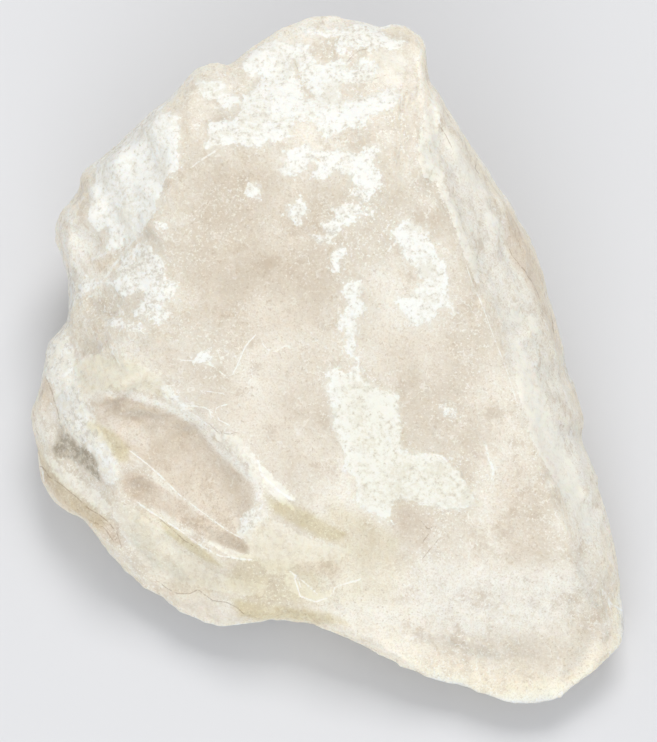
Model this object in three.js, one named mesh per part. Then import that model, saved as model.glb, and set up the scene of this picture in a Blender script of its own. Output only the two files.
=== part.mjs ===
// A rough, broken lump of milky quartz from a pegmatite, lying on its flattest side.
//
// The stone is one closed solid. Its broad face is described in a frame that is square to that
// face: u runs right, v runs up the face and w stands out of it, all in millimetres. The face
// leans back from level by LEAN, so the whole stone is turned by that angle when it is finished.
// Far end thick, near tip thin: seen from the side the stone is a wedge.

import * as THREE from 'three';

// Driving dimensions
const LEAN = THREE.MathUtils.degToRad(22);
// Height of the face frame's origin above the table
const FACE_HEIGHT = 11.4;
// How softly neighbouring flats run into each other
const FLAT_BLEND = 0.14;
const BACK_BLEND = 0.25;
// Least thickness left between the rim and each side of the stone
const RIM_LIP = 0.1;
// The rim's rounding is this much wider underneath than on top
const BACK_ROUNDING = 1.1;

// Mesh fineness: points along the rim for each outline point, and rings from rim to middle
const POINTS_PER_SPAN = 2;
const RINGS = 18;
const FEWEST_POINTS = 6;

const STONE_COLOUR = 0xe0d8c8;
const STONE_ROUGHNESS = 0.5;

// Outline of the stone seen square on to the broad face, anticlockwise from the right
const OUTLINE = [
  [17.2, 0.0], [17.0, 1.8], [16.5, 3.5], [15.9, 5.2], [15.5, 6.9], [15.0, 8.6], [14.1, 10.3],
  [13.2, 11.9], [12.1, 13.5], [11.0, 15.1], [9.8, 16.8], [8.8, 18.4], [8.0, 19.9], [7.2, 21.0],
  [7.0, 22.4], [6.8, 23.6], [5.9, 24.5], [4.8, 24.8], [3.6, 24.6], [2.4, 25.1], [0.8, 25.3],
  [-0.6, 25.5], [-1.8, 25.3], [-2.9, 24.8], [-4.6, 23.9], [-5.8, 22.9], [-7.3, 21.9], [-8.1, 22.1],
  [-9.4, 21.8], [-10.4, 20.8], [-11.5, 19.5], [-13.0, 18.4], [-14.8, 16.6], [-16.5, 15.4],
  [-17.8, 14.2], [-18.1, 13.1], [-19.2, 11.8], [-19.7, 10.6], [-19.5, 9.1], [-19.0, 7.4],
  [-18.7, 5.3], [-19.0, 3.5], [-20.1, 2.2], [-20.5, 0.6], [-20.8, -0.9], [-21.5, -3.2],
  [-21.2, -4.9], [-21.0, -6.5], [-20.5, -8.3], [-19.6, -9.6], [-18.0, -10.5], [-16.6, -12.1],
  [-15.4, -13.5], [-13.6, -15.3], [-11.8, -16.3], [-10.0, -17.5], [-8.3, -18.1], [-5.9, -18.1],
  [-3.5, -17.8], [-1.8, -18.0], [0.1, -18.6], [2.2, -19.5], [4.5, -20.7], [7.2, -22.0],
  [9.1, -22.3], [11.2, -23.1], [12.8, -23.7], [15.5, -23.6], [17.0, -22.9], [19.2, -21.2],
  [20.9, -19.6], [21.3, -18.4], [21.0, -16.6], [20.8, -13.9], [20.2, -10.6], [19.6, -9.0],
  [19.1, -6.9], [18.2, -4.8], [18.4, -3.5], [17.9, -1.7],
];

// Height of the rim above the table round the stone: [degrees anticlockwise from the right, mm]
const RIM_HEIGHTS = [
  [0, 5.6], [25, 7.6], [50, 11.5], [70, 16.2], [85, 18.6], [105, 17.6], [122, 13.6], [145, 9.4],
  [170, 6.6], [190, 4.3], [210, 3.0], [235, 2.9], [255, 3.3], [275, 3.3], [300, 2.8], [318, 3.1],
  [335, 3.9],
];

// Width of the rim's rounding on top: [degrees, mm]
const RIM_ROUNDING = [
  [0, 1.3], [45, 1.4], [90, 1.2], [130, 1.4], [180, 1.0], [225, 0.8], [270, 1.0], [300, 1.2],
  [330, 1.3],
];

// Broken flats of the upper side, each by three points on it: u, v and height out of the face
const FRONT_FLATS = [
  // The broad middle and the facet to its upper left, which meet in a soft diagonal ridge
  [[0.8, 8.3, 3.9], [10.2, 6.1, 3.6], [1.5, -13.5, 1.75]],
  [[0.8, 8.3, 3.9], [-11.7, 2.6, 2.9], [-9.9, 15.8, 2.1]],
  // The crest that falls away to the far edge
  [[-10.2, 16.5, 2.0], [6.5, 17.4, 2.8], [-0.6, 24.2, -0.4]],
  // Right flank, upper and lower
  [[6.6, 18.5, 2.9], [10.2, 6.1, 3.6], [13.7, 11.8, -1.0]],
  [[10.2, 6.1, 3.6], [15.7, -7.1, 2.2], [18.1, -2.1, -1.4]],
  // The near tip and the foot of the right flank
  [[0.8, -14.9, 1.7], [15.7, -7.1, 2.2], [17.6, -21.4, 0.9]],
  [[15.7, -7.8, 2.1], [19.4, -19.2, 1.0], [20.7, -14.6, -1.6]],
  // Left side: beside the spoon hollow, the outer lip, the left end and the upper flank
  [[-11.7, 1.9, 2.9], [0.1, -14.9, 1.7], [-15.0, -8.5, 0.5]],
  [[-15.0, -8.5, 0.5], [-4.2, -15.6, 1.5], [-14.2, -14.6, -1.6]],
  [[-15.5, -7.1, 0.3], [-19.3, 0.4, -1.6], [-20.6, -7.1, -3.7]],
  [[-10.5, 17.9, 2.0], [-12.8, 2.9, 2.8], [-19.2, 10.4, -3.8]],
  // The near edge
  [[-3.5, -16.4, 1.5], [16.5, -20.8, 1.3], [7.2, -22.4, 0.7]],
];

// Broken flats of the far wall and the underside, each by three points: u, v and height above
// the table
const BACK_FLATS = [
  // The far wall, which stands almost upright
  [[6.9, 24.0, 15.5], [0.8, 25.6, 16.5], [5.2, 19.4, 0]],
  [[0.1, 25.6, 16.5], [-10.4, 21.2, 11.5], [-4.2, 18.8, 0]],
  [[-10.4, 20.8, 12.0], [-18.1, 13.1, 8.0], [-11.7, 14.4, 0]],
  // Undercut sides
  [[-19.5, 10.1, 6.0], [-21.3, -4.2, 3.2], [-15.5, -0.6, 0.5]],
  [[-20.5, -8.3, 2.4], [-13.6, -15.3, 1.7], [-13.5, -7.1, 0.5]],
  [[-15.4, -13.5, 1.7], [-3.5, -17.8, 1.9], [-7.0, -11.4, 0.4]],
  [[-3.5, -17.8, 1.9], [9.1, -22.3, 1.7], [5.1, -15.6, 0.5]],
  [[12.8, -23.7, 1.6], [21.0, -16.6, 2.2], [13.7, -16.4, 0.5]],
  [[20.2, -10.6, 2.9], [17.9, -1.7, 4.0], [13.0, -4.9, 0.6]],
  [[17.0, 1.8, 5.0], [12.1, 13.5, 10.0], [10.1, 7.2, 0.4]],
  // Shallow slopes between the undercuts and the flat that the stone rests on
  [[-15.5, -0.6, 1.1], [-12.8, -9.2, 1.3], [-8.1, -2.1, 0]],
  [[-9.2, -13.5, 1.3], [10.1, -17.8, 1.3], [0.1, -9.9, 0]],
  [[13.7, -4.9, 1.3], [11.5, 3.6, 1.3], [8.0, -2.1, 0]],
  [[5.1, 17.2, 1.6], [-3.5, 17.2, 1.6], [0.1, 12.6, 0]],
];

// Hollows in the upper side: how deep, how wide the slope of their wall, and their outline
const HOLLOWS = [
  // The long spoon-shaped scar on the left, deepest at its upper end, and the strip below it
  { depth: 0.85, wall: 1.5, outline: [
    [-17.3, -1.5], [-14.5, -0.9], [-10.5, -2.4], [-8.3, -3.4], [-7.5, -4.8], [-6.1, -6.0],
    [-5.0, -7.6], [-4.9, -9.4], [-5.6, -10.6], [-5.9, -12.4], [-9.0, -10.3], [-13.0, -6.9],
    [-15.5, -4.9]] },
  { depth: 0.3, wall: 0.9, outline: [
    [-17.0, -1.5], [-14.9, -1.1], [-12.0, -1.9], [-9.2, -3.1], [-8.8, -4.4], [-10.6, -4.9],
    [-13.5, -3.9]] },
  { depth: 0.38, wall: 0.7, outline: [
    [-15.0, -6.2], [-13.5, -6.6], [-9.2, -10.4], [-6.0, -12.4], [-5.9, -13.5], [-10.9, -11.4],
    [-14.6, -8.1]] },
  // Small scars along the left end
  { depth: 0.45, wall: 0.7, outline: [
    [-18.0, 4.5], [-16.6, 5.6], [-14.2, 5.5], [-13.5, 4.5], [-15.0, 3.6], [-17.2, 3.6]] },
  { depth: 0.28, wall: 0.6, outline: [
    [-18.6, 1.4], [-17.0, 2.5], [-14.5, 2.7], [-11.9, 1.9], [-13.5, 1.1], [-18.2, 0.6]] },
  { depth: 0.45, wall: 0.6, outline: [
    [-19.9, -5.5], [-18.3, -4.8], [-16.3, -7.2], [-16.8, -7.9]] },
  { depth: 0.4, wall: 0.7, outline: [
    [-20.6, -0.5], [-19.9, -0.1], [-18.9, -4.1], [-19.8, -4.8], [-20.5, -3.5]] },
  // The two stained hollows near the lower edge
  { depth: 0.4, wall: 0.9, outline: [
    [-4.5, -8.1], [-2.8, -9.4], [1.7, -12.2], [0.1, -12.6], [-2.8, -11.5], [-4.3, -9.7]] },
  { depth: 0.25, wall: 0.9, outline: [
    [-3.1, -13.5], [0.1, -13.9], [2.2, -14.9], [1.2, -16.4], [-1.3, -16.6], [-3.1, -15.3]] },
  // A chip at the near tip, the dished upper left flank and the saddle in the crest
  { depth: 0.45, wall: 0.8, outline: [
    [17.1, -20.6], [18.3, -18.8], [20.2, -18.4], [21.0, -19.6], [17.6, -22.4], [16.5, -22.6]] },
  { depth: 0.35, wall: 1.4, outline: [
    [-17.2, 11.9], [-15.8, 14.7], [-13.6, 16.5], [-11.8, 16.9], [-12.8, 11.9], [-16.6, 8.6]] },
  { depth: 0.25, wall: 1.6, outline: [
    [-6.6, 24.4], [-4.8, 22.2], [-2.0, 21.5], [0.1, 22.2], [1.2, 20.1], [-2.0, 18.6],
    [-7.2, 21.1]] },
];

// Broken ledges: the surface drops on one side of each line and comes back up over the reach.
// Looking along the line, side 1 is its right-hand side and side -1 its left-hand side.
const LEDGES = [
  // Long ledges down the right flank
  { drop: 0.28, width: 0.35, reach: 1.8, line: [
    [6.8, 22.1], [7.1, 17.9], [8.5, 12.9], [10.0, 8.6], [12.2, 1.9], [13.1, -2.1]], side: -1 },
  { drop: 0.34, width: 0.3, reach: 1.4, line: [
    [9.0, 17.2], [10.7, 13.3], [13.1, 6.1], [14.4, 1.5], [15.5, -2.1]], side: -1 },
  { drop: 0.3, width: 0.3, reach: 1.6, line: [
    [12.2, 11.1], [14.0, 7.2], [16.2, -0.6], [17.0, -3.9]], side: -1 },
  { drop: 0.22, width: 0.5, reach: 1.6, line: [
    [13.1, -1.7], [14.4, -4.9], [18.7, -12.4], [20.0, -16.4]], side: -1 },
  // Ledges that run round the outside of the spoon-shaped scar
  { drop: 0.18, width: 0.4, reach: 1.0, line: [
    [-6.3, -13.9], [-9.9, -12.1], [-13.5, -9.6], [-16.5, -4.9], [-17.8, -2.1]], side: 1 },
  { drop: 0.26, width: 0.3, reach: 1.3, line: [
    [-17.5, -2.2], [-16.6, -4.9], [-15.5, -7.8], [-12.8, -10.6], [-8.8, -13.2]], side: 1 },
  { drop: 0.28, width: 0.35, reach: 1.5, line: [
    [-19.3, -0.3], [-18.5, -3.9], [-14.9, -10.6], [-12.0, -13.1], [-8.1, -15.3]], side: 1 },
  // The pale shelf above the scar and the folds of the upper left flank
  { drop: 0.3, width: 0.4, reach: 1.2, line: [
    [-16.9, 1.9], [-14.2, 0.6], [-11.7, -0.8], [-9.5, -2.6]], side: 1 },
  { drop: 0.25, width: 0.4, reach: 1.4, line: [
    [-11.7, 11.9], [-13.0, 10.2], [-14.9, 8.3], [-17.5, 6.9]], side: 1 },
  { drop: 0.18, width: 0.4, reach: 2.2, line: [
    [-10.9, 18.5], [-11.8, 15.8], [-11.7, 11.9], [-12.6, 9.6], [-11.3, 5.8], [-12.0, 2.9]],
    side: 1 },
  // The soft diagonal ridge and a low step along the near edge
  { drop: 0.14, width: 1.4, reach: 5.0, line: [[-12.8, 1.9], [-6.0, 5.4], [0.8, 8.3]], side: -1 },
  { drop: 0.15, width: 0.5, reach: 1.4, line: [
    [-2.0, -15.8], [3.7, -17.1], [9.4, -19.2], [14.4, -21.2]], side: 1 },
];
// Part of a ledge's length over which it runs out at each end
const LEDGE_RUN_OUT = 0.12;

// Shell-shaped bites side by side along the rim: how many, their size and their depth
const BITES = [
  { count: 22, size: 3.4, depth: 0.55, start: 0.3 },
  { count: 41, size: 1.9, depth: 0.3, start: 0.9 },
];
const BITE_DEPTH_UNDERNEATH = 0.8;

// Bowl-shaped breaks in the far wall and the underside: u, v, half length, half height, depth
const BOWLS = [
  [-2.5, 22.0, 4.5, 1.7, 1.2],
  [4.6, 20.9, 3.2, 1.6, 1.0],
  [-9.0, 18.2, 3.6, 1.6, 1.2],
  [-14.0, 3.0, 3.4, 4.2, 0.7],
  [5.5, -17.4, 4.8, 2.4, 0.5],
];

// Uneven swells of the broken surface: size in mm, height in mm, layers
const FRONT_SWELLS = [[4.5, 0.12, 2], [1.3, 0.05, 2]];
const BACK_SWELLS = [[5.0, 0.35, 2], [1.5, 0.12, 2]];
// On a steep back wall the swells follow the wall's height as well as u and v
const SWELLS_PER_HEIGHT = 0.8;
// How far the edges of flats, hollows and ledges wander, and over what length
const WANDER = 0.55;
const WANDER_SIZE = 2.6;
const WANDER_IN_HOLLOWS = 0.7;

// Golden ratio fractions, which spread sizes evenly without repeating
const GOLDEN = 0.618034;
const PLASTIC = 0.754878;

const smooth = (x) => THREE.MathUtils.smoothstep(x, 0, 1);

// A number between -1 and 1 that belongs to one cell of a grid
function cellValue(i, j, seed) {
  let h = Math.imul(i, 374761393) + Math.imul(j, 668265263) + Math.imul(seed, 1274126177);
  h = Math.imul(h ^ (h >>> 13), 1274126177);
  return ((h ^ (h >>> 16)) >>> 0) / 4294967295 * 2 - 1;
}

// Smooth uneven swell over the plane, about -1 to 1, in layers each half the size of the last
function swell(u, v, size, seed, layers) {
  let total = 0;
  let weight = 1;
  let weights = 0;
  for (let k = 0; k < layers; k += 1) {
    const turn = 0.65 + 1.1 * k;
    const x = (Math.cos(turn) * u - Math.sin(turn) * v) / size + 0.37 * seed;
    const y = (Math.sin(turn) * u + Math.cos(turn) * v) / size - 0.53 * seed;
    const i = Math.floor(x);
    const j = Math.floor(y);
    const fx = THREE.MathUtils.smootherstep(x - i, 0, 1);
    const fy = THREE.MathUtils.smootherstep(y - j, 0, 1);
    const near = THREE.MathUtils.lerp(cellValue(i, j, seed + k), cellValue(i + 1, j, seed + k), fx);
    const far = THREE.MathUtils.lerp(
      cellValue(i, j + 1, seed + k), cellValue(i + 1, j + 1, seed + k), fx);
    total += weight * THREE.MathUtils.lerp(near, far, fy);
    weights += weight;
    weight *= 0.5;
    size *= 0.5;
  }
  return 1.5 * total / weights;
}

// A table of [degrees, value] read at any angle, eased between its rows and closed on itself
function roundTheStone(table, degrees) {
  const turn = ((degrees % 360) + 360) % 360;
  let k = table.length - 1;
  while (k > 0 && table[k][0] > turn) {
    k -= 1;
  }
  const [start, from] = table[k];
  const [end, to] = k + 1 < table.length ? table[k + 1] : [360, table[0][1]];
  return THREE.MathUtils.lerp(from, to, smooth((turn - start) / (end - start)));
}

// The height of a flat through three points, as a function of u and v
function flat([a, b, c]) {
  const normal = new THREE.Triangle(
    new THREE.Vector3(...a), new THREE.Vector3(...b), new THREE.Vector3(...c),
  ).getNormal(new THREE.Vector3());
  return (u, v) => a[2] - (normal.x * (u - a[0]) + normal.y * (v - a[1])) / normal.z;
}

// The height out of the face of a point that is z above the table
const outOfFace = (v, z) => (z - FACE_HEIGHT - v * Math.sin(LEAN)) / Math.cos(LEAN);

const frontFlats = FRONT_FLATS.map(flat);
const backFlats = BACK_FLATS.map((points) => (
  flat(points.map(([u, v, z]) => [u, v, outOfFace(v, z)]))));

// The lowest of several heights, with the step between them softened
function softLowest(heights, blend) {
  const low = Math.min(...heights);
  return low - blend * Math.log(heights.reduce((sum, h) => sum + Math.exp((low - h) / blend), 0));
}

// Distance to a line of points, positive inside it (closed) or on its left (open), and how far
// along the line the nearest point lies
function nearest(u, v, points, closed) {
  const count = closed ? points.length : points.length - 1;
  let best = Infinity;
  let left = 1;
  let along = 0;
  let inside = false;
  for (let k = 0; k < count; k += 1) {
    const [au, av] = points[k];
    const [bu, bv] = points[(k + 1) % points.length];
    const du = bu - au;
    const dv = bv - av;
    const t = THREE.MathUtils.clamp(((u - au) * du + (v - av) * dv) / (du * du + dv * dv), 0, 1);
    const gap = Math.hypot(u - au - t * du, v - av - t * dv);
    if (gap < best) {
      best = gap;
      left = Math.sign((v - av) * du - (u - au) * dv);
      along = (k + t) / count;
    }
    if ((av > v) !== (bv > v) && u < (bu - au) * (v - av) / (bv - av) + au) {
      inside = !inside;
    }
  }
  return { gap: closed ? (inside ? best : -best) : left * best, along };
}

// Depth of the shell-shaped bites along the rim
function bites(u, v) {
  let cut = 0;
  for (const { count, size, depth, start } of BITES) {
    for (let k = 0; k < count; k += 1) {
      const first = ((k + start) * GOLDEN) % 1;
      const second = ((k + start) * PLASTIC) % 1;
      const centre = rim.getPoint((k + 0.75 * first) / count).multiplyScalar(0.98 - 0.05 * second);
      const reach = size * (0.7 + 0.6 * second);
      const away = ((u - centre.x) ** 2 + (v - centre.y) ** 2) / (reach * reach);
      cut = Math.max(cut, depth * (0.45 + 0.9 * first) * (1 - away));
    }
  }
  return cut;
}

// A point moved a little to and fro, so that no edge runs straight
function wander(u, v, share) {
  return [
    u + share * WANDER * swell(u, v, WANDER_SIZE, 3, 3),
    v + share * WANDER * swell(u, v, WANDER_SIZE, 8, 3),
  ];
}

function swells(u, v, list, seed) {
  return list.reduce((sum, [size, height, layers], k) => (
    sum + height * swell(u, v, size, seed + 6 * k, layers)), 0);
}

// Height of the upper side
function front(u, v) {
  const [fu, fv] = wander(u, v, 1);
  const [hu, hv] = wander(u, v, WANDER_IN_HOLLOWS);
  let w = softLowest(frontFlats.map((height) => height(fu, fv)), FLAT_BLEND);
  for (const { depth, wall, outline } of HOLLOWS) {
    w -= depth * smooth(nearest(hu, hv, outline, true).gap / wall);
  }
  for (const { drop, width, reach, line, side } of LEDGES) {
    const { gap, along } = nearest(hu, hv, line, false);
    const step = smooth(-side * gap / width) * (1 - smooth((-side * gap - width) / reach));
    w -= drop * step * smooth(Math.min(along, 1 - along) / LEDGE_RUN_OUT);
  }
  return w + swells(u, v, FRONT_SWELLS, 11) - bites(fu, fv);
}

// Height of the far wall and the underside
function back(u, v) {
  const [fu, fv] = wander(u, v, 1);
  let w = -softLowest(backFlats.map((height) => -height(fu, fv)), BACK_BLEND);
  const climbed = v + SWELLS_PER_HEIGHT * Math.max(0, w - outOfFace(v, 0));
  for (const [bu, bv, halfLength, halfHeight, depth] of BOWLS) {
    w += depth * Math.max(0, 1 - ((fu - bu) / halfLength) ** 2 - ((fv - bv) / halfHeight) ** 2);
  }
  return w + swells(u, climbed, BACK_SWELLS, 23) + BITE_DEPTH_UNDERNEATH * bites(u, v);
}

// A quarter round: 0 at the rim, 1 once past the rounding
const quarterRound = (x) => Math.sqrt(1 - (1 - THREE.MathUtils.clamp(x, 0, 1)) ** 2);

const rim = new THREE.CatmullRomCurve3(
  OUTLINE.map(([u, v]) => new THREE.Vector3(u, v, 0)), true, 'catmullrom', 0.5);

// A point of the stone: where along the rim, what share of the way out to it, and which side
function stonePoint(along, share, upper) {
  const edge = rim.getPoint(along);
  const degrees = THREE.MathUtils.radToDeg(Math.atan2(edge.y, edge.x));
  const rimHeight = outOfFace(edge.y, roundTheStone(RIM_HEIGHTS, degrees));
  const rounding = roundTheStone(RIM_ROUNDING, degrees) * (upper ? 1 : BACK_ROUNDING);
  const rise = quarterRound(Math.hypot(edge.x, edge.y) * (1 - share) / rounding);
  const [u, v] = [edge.x * share, edge.y * share];
  const height = upper
    ? Math.max(front(u, v), rimHeight + RIM_LIP)
    : Math.min(back(u, v), rimHeight - RIM_LIP);
  const w = Math.max(THREE.MathUtils.lerp(rimHeight, height, rise), outOfFace(v, 0));
  return new THREE.Vector3(u, v, w);
}

// Ring k of points, from the rim (0) to the middle (RINGS); rings crowd together at the rim
function ring(k, upper) {
  const share = Math.sin((1 - k / RINGS) * Math.PI / 2);
  if (k === RINGS) {
    return [stonePoint(0, 0, upper)];
  }
  const full = OUTLINE.length * POINTS_PER_SPAN;
  const count = k === 0 ? full : Math.max(FEWEST_POINTS, Math.round(full * share));
  const shift = k === 0 ? 0 : (k % 2) / 2;
  return Array.from({ length: count }, (_, j) => stonePoint((j + shift) / count, share, upper));
}

// Triangles between two neighbouring rings, the outer one first; start is each ring's first index
function stitch(outer, inner, triangles) {
  let a = 0;
  let b = 0;
  const outerAt = (j) => outer.start + j % outer.count;
  const innerAt = (j) => inner.start + j % inner.count;
  while (a < outer.count || (b < inner.count && inner.count > 1)) {
    const nextOuter = (a + 1 + outer.shift) / outer.count;
    const nextInner = (b + 1 + inner.shift) / inner.count;
    const stepOuter = a < outer.count && (inner.count === 1 || nextOuter <= nextInner
      || b >= inner.count);
    if (stepOuter) {
      triangles.push(outerAt(a), outerAt(a + 1), innerAt(b));
      a += 1;
    } else {
      triangles.push(outerAt(a), innerAt(b + 1), innerAt(b));
      b += 1;
    }
  }
}

// One side of the stone as rings of points and the triangles between them
function side(upper, points, rimRing) {
  const triangles = [];
  let outer = rimRing;
  for (let k = 1; k <= RINGS; k += 1) {
    const ringPoints = ring(k, upper);
    const shift = (k % 2) / 2;
    const inner = { start: points.length, count: ringPoints.length, shift };
    points.push(...ringPoints);
    stitch(outer, inner, triangles);
    outer = inner;
  }
  return triangles;
}

function stoneGeometry() {
  const points = ring(0, true);
  const rimRing = { start: 0, count: points.length, shift: 0 };
  const upper = side(true, points, rimRing);
  const under = side(false, points, rimRing);
  // The underside is seen from the other side, so its triangles are turned over
  for (let t = 0; t < under.length; t += 3) {
    [under[t + 1], under[t + 2]] = [under[t + 2], under[t + 1]];
  }
  const geometry = new THREE.BufferGeometry().setFromPoints(points);
  geometry.setIndex([...upper, ...under]);
  geometry.rotateX(LEAN);
  geometry.translate(0, 0, FACE_HEIGHT);
  const position = geometry.getAttribute('position');
  // The resting flat lies exactly on the table
  for (let k = 0; k < position.count; k += 1) {
    position.setZ(k, position.getZ(k) < 1e-4 ? 0 : position.getZ(k));
  }
  geometry.computeBoundingBox();
  const middle = geometry.boundingBox.getCenter(new THREE.Vector3());
  geometry.translate(-middle.x, -middle.y, 0);
  geometry.computeVertexNormals();
  return geometry;
}

const stone = new THREE.Mesh(
  stoneGeometry(),
  new THREE.MeshStandardMaterial({ color: STONE_COLOUR, roughness: STONE_ROUGHNESS, metalness: 0 }),
);
stone.name = 'stone';

const specimen = new THREE.Group();
specimen.name = 'mineral_specimen';
specimen.add(stone);

export default specimen;
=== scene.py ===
# %% [markdown]
# # A broken lump of milky quartz
#
# This lesson dresses a rough stone from a pegmatite, about 48 mm long. It is one piece of milky
# quartz, broken on all sides, with a wide face that is almost flat, ragged white crust in patches,
# and thin edges that let light through. The shape comes in as a imported solid, and the lesson adds
# what only a close look shows: the broken skin, the crust, the stains and the stone's glow, which is
# partly light under the surface and partly a warm glow painted into the colour of its edges.

# %% Load the imported stone
import math

import bpy
import numpy as np
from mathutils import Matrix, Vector, noise
from mathutils.bvhtree import BVHTree


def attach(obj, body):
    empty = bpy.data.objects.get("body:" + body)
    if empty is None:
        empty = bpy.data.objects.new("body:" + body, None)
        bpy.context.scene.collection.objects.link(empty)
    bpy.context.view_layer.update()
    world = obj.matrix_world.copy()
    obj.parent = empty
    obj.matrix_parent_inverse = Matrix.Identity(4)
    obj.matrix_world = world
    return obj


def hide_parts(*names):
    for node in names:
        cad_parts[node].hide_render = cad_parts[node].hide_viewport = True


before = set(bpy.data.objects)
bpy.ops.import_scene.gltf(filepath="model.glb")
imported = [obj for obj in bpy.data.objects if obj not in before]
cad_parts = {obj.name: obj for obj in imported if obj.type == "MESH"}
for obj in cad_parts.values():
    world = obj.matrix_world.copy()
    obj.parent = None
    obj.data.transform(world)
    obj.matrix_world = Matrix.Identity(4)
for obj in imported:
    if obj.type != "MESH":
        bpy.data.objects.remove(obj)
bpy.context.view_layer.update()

MM = 0.001

# %% [markdown]
# ## Two ways to say where something is
#
# The stone lies on its flattest side, with its wide face tipped up towards the viewer. Marks on
# that face are easiest to place as they are seen: so far to the right of the picture's middle and
# so far above it. So the lesson keeps a second frame, square to the line of sight, and turns every
# corner of the mesh into it. Since the camera is near, what lies closer looks larger, and the
# helper allows for that. It is only used to place marks on the mesh, once, and not in a material.

# %% The face frame
LEAN = math.radians(22)
FACE_MIDDLE = np.array([0.1, -2.0052, 11.4])
CAMERA_AWAY = 450.0
RIGHT = np.array([1.0, 0.0, 0.0])
UP = np.array([0.0, math.cos(LEAN), math.sin(LEAN)])
OUT = np.array([0.0, -math.sin(LEAN), math.cos(LEAN)])


def as_seen(points):
    """Where corners, in mm, show in the picture: mm right of its middle and mm above it."""
    rest = points - FACE_MIDDLE
    nearer = CAMERA_AWAY / (CAMERA_AWAY - rest @ OUT)
    return np.stack([(rest @ RIGHT) * nearer, (rest @ UP) * nearer], axis=1)


print("the middle of the picture is", FACE_MIDDLE[2], "mm above the table")

# %% [markdown]
# ## From flat triangles to a rounded skin
#
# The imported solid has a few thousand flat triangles, which show as facets up close, while a real
# break in quartz is rounded. So its triangles become the start of a finer skin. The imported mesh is
# left alone, and a copy of its corners is read, with those at the same place made one.

# %% Read the stone's corners and triangles
def corner_normals(points, faces):
    """The direction each corner faces, as the mean of the triangles around it."""
    a, b, c = (points[faces[:, i]] for i in range(3))
    across = np.cross(b - a, c - a)
    total = np.zeros_like(points)
    for i in range(3):
        np.add.at(total, faces[:, i], across)
    return total / np.maximum(np.linalg.norm(total, axis=1, keepdims=True), 1e-12)


def merged(mesh):
    """A mesh's corners in mm and its triangles, with corners at the same place made one."""
    points = np.zeros(len(mesh.vertices) * 3)
    mesh.vertices.foreach_get("co", points)
    points = points.reshape(-1, 3) / MM
    mesh.calc_loop_triangles()
    faces = np.zeros(len(mesh.loop_triangles) * 3, int)
    mesh.loop_triangles.foreach_get("vertices", faces)
    _, first, back = np.unique(np.round(points, 4), axis=0, return_index=True, return_inverse=True)
    faces = back.reshape(-1)[faces].reshape(-1, 3)
    a, b, c = faces.T
    return points[first], faces[(a != b) & (b != c) & (c != a)]


points, faces = merged(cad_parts["stone"].data)
print("corners", len(points), "triangles", len(faces))

# %% [markdown]
# A subdivision surface would pull the shape inwards and lose its size. So long edges are split
# instead, and each new corner is lifted on to the curve that the normals at the two ends suggest.
# The old corners stay where they are. The wide face gets the finest mesh, because the crust's
# edges are told by its corners, and the underside a coarser one.

# %% Split the long edges, lifting each new corner
FRONT_EDGE = 0.3
BACK_EDGE = 0.65
TABLE_TOUCH = 0.02


def rising(values, start, span):
    """0 up to start, then an even rise to 1 over span."""
    return np.clip((values - start) / span, 0, 1)


def split_long(points, faces, longest):
    """One round: every edge longer than longest (mm, one value a corner) is cut in two."""
    normals = corner_normals(points, faces)
    sides = np.stack([faces[:, [0, 1]], faces[:, [1, 2]], faces[:, [2, 0]]], axis=1)
    pairs = np.sort(sides.reshape(-1, 2), axis=1)
    edges, place = np.unique(pairs, axis=0, return_inverse=True)
    a, b = edges.T
    run = points[b] - points[a]
    cut = np.linalg.norm(run, axis=1) > (longest[a] + longest[b]) / 2
    lift_a = np.sum(run * normals[a], axis=1, keepdims=True) * normals[a]
    lift_b = np.sum(run * normals[b], axis=1, keepdims=True) * normals[b]
    middle = (points[a] + points[b]) / 2 - (lift_a - lift_b) / 8
    on_table = (points[a, 2] < TABLE_TOUCH) & (points[b, 2] < TABLE_TOUCH)
    middle[on_table, 2] = 0
    number = np.full(len(edges), -1)
    number[cut] = len(points) + np.arange(cut.sum())
    mids = number[place.reshape(-1, 3)]
    made = [faces[(mids < 0).all(axis=1)]]
    for turn in range(3):
        order = [turn, (turn + 1) % 3, (turn + 2) % 3]
        p, q, r = faces[:, order].T
        pq, qr, rp = mids[:, order].T
        one = (pq >= 0) & (qr < 0) & (rp < 0)
        made += [np.stack([p, pq, r], 1)[one], np.stack([pq, q, r], 1)[one]]
        two = (pq >= 0) & (qr >= 0) & (rp < 0)
        made += [np.stack(three, 1)[two] for three in ((pq, q, qr), (p, pq, qr), (p, qr, r))]
    whole = (mids >= 0).all(axis=1)
    (p, q, r), (pq, qr, rp) = faces.T, mids.T
    for three in ((p, pq, rp), (pq, q, qr), (rp, qr, r), (pq, qr, rp)):
        made.append(np.stack(three, 1)[whole])
    return np.concatenate([points, middle[cut]]), np.concatenate(made)


while True:
    towards = rising(corner_normals(points, faces) @ OUT, -0.1, 0.3)
    longest = BACK_EDGE + (FRONT_EDGE - BACK_EDGE) * towards
    finer, finer_faces = split_long(points, faces, longest)
    if len(finer) == len(points):
        break
    points, faces = finer, finer_faces
print("after splitting: corners", len(points), "triangles", len(faces))

# %% [markdown]
# The old triangles' edges still show as faint creases. A few rounds that move every corner part of
# the way to the middle of its neighbours ease them. The mesh is fine by now, so this costs no size
# to speak of, and the corners on the table stay on it.

# %% Ease the old triangles' edges
EASE_ROUNDS = 3
EASE_SHARE = 0.5


def eased(points, faces):
    """Moves each corner part of the way to the middle of the corners around it."""
    total = np.zeros_like(points)
    count = np.zeros(len(points))
    for i in range(3):
        for j in ((i + 1) % 3, (i + 2) % 3):
            np.add.at(total, faces[:, i], points[faces[:, j]])
            np.add.at(count, faces[:, i], 1)
    middle = total / count[:, None]
    moved = points + EASE_SHARE * (middle - points)
    moved[points[:, 2] < TABLE_TOUCH, 2] = 0
    return moved


for _ in range(EASE_ROUNDS):
    points = eased(points, faces)
print("eased", EASE_ROUNDS, "times")

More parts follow.
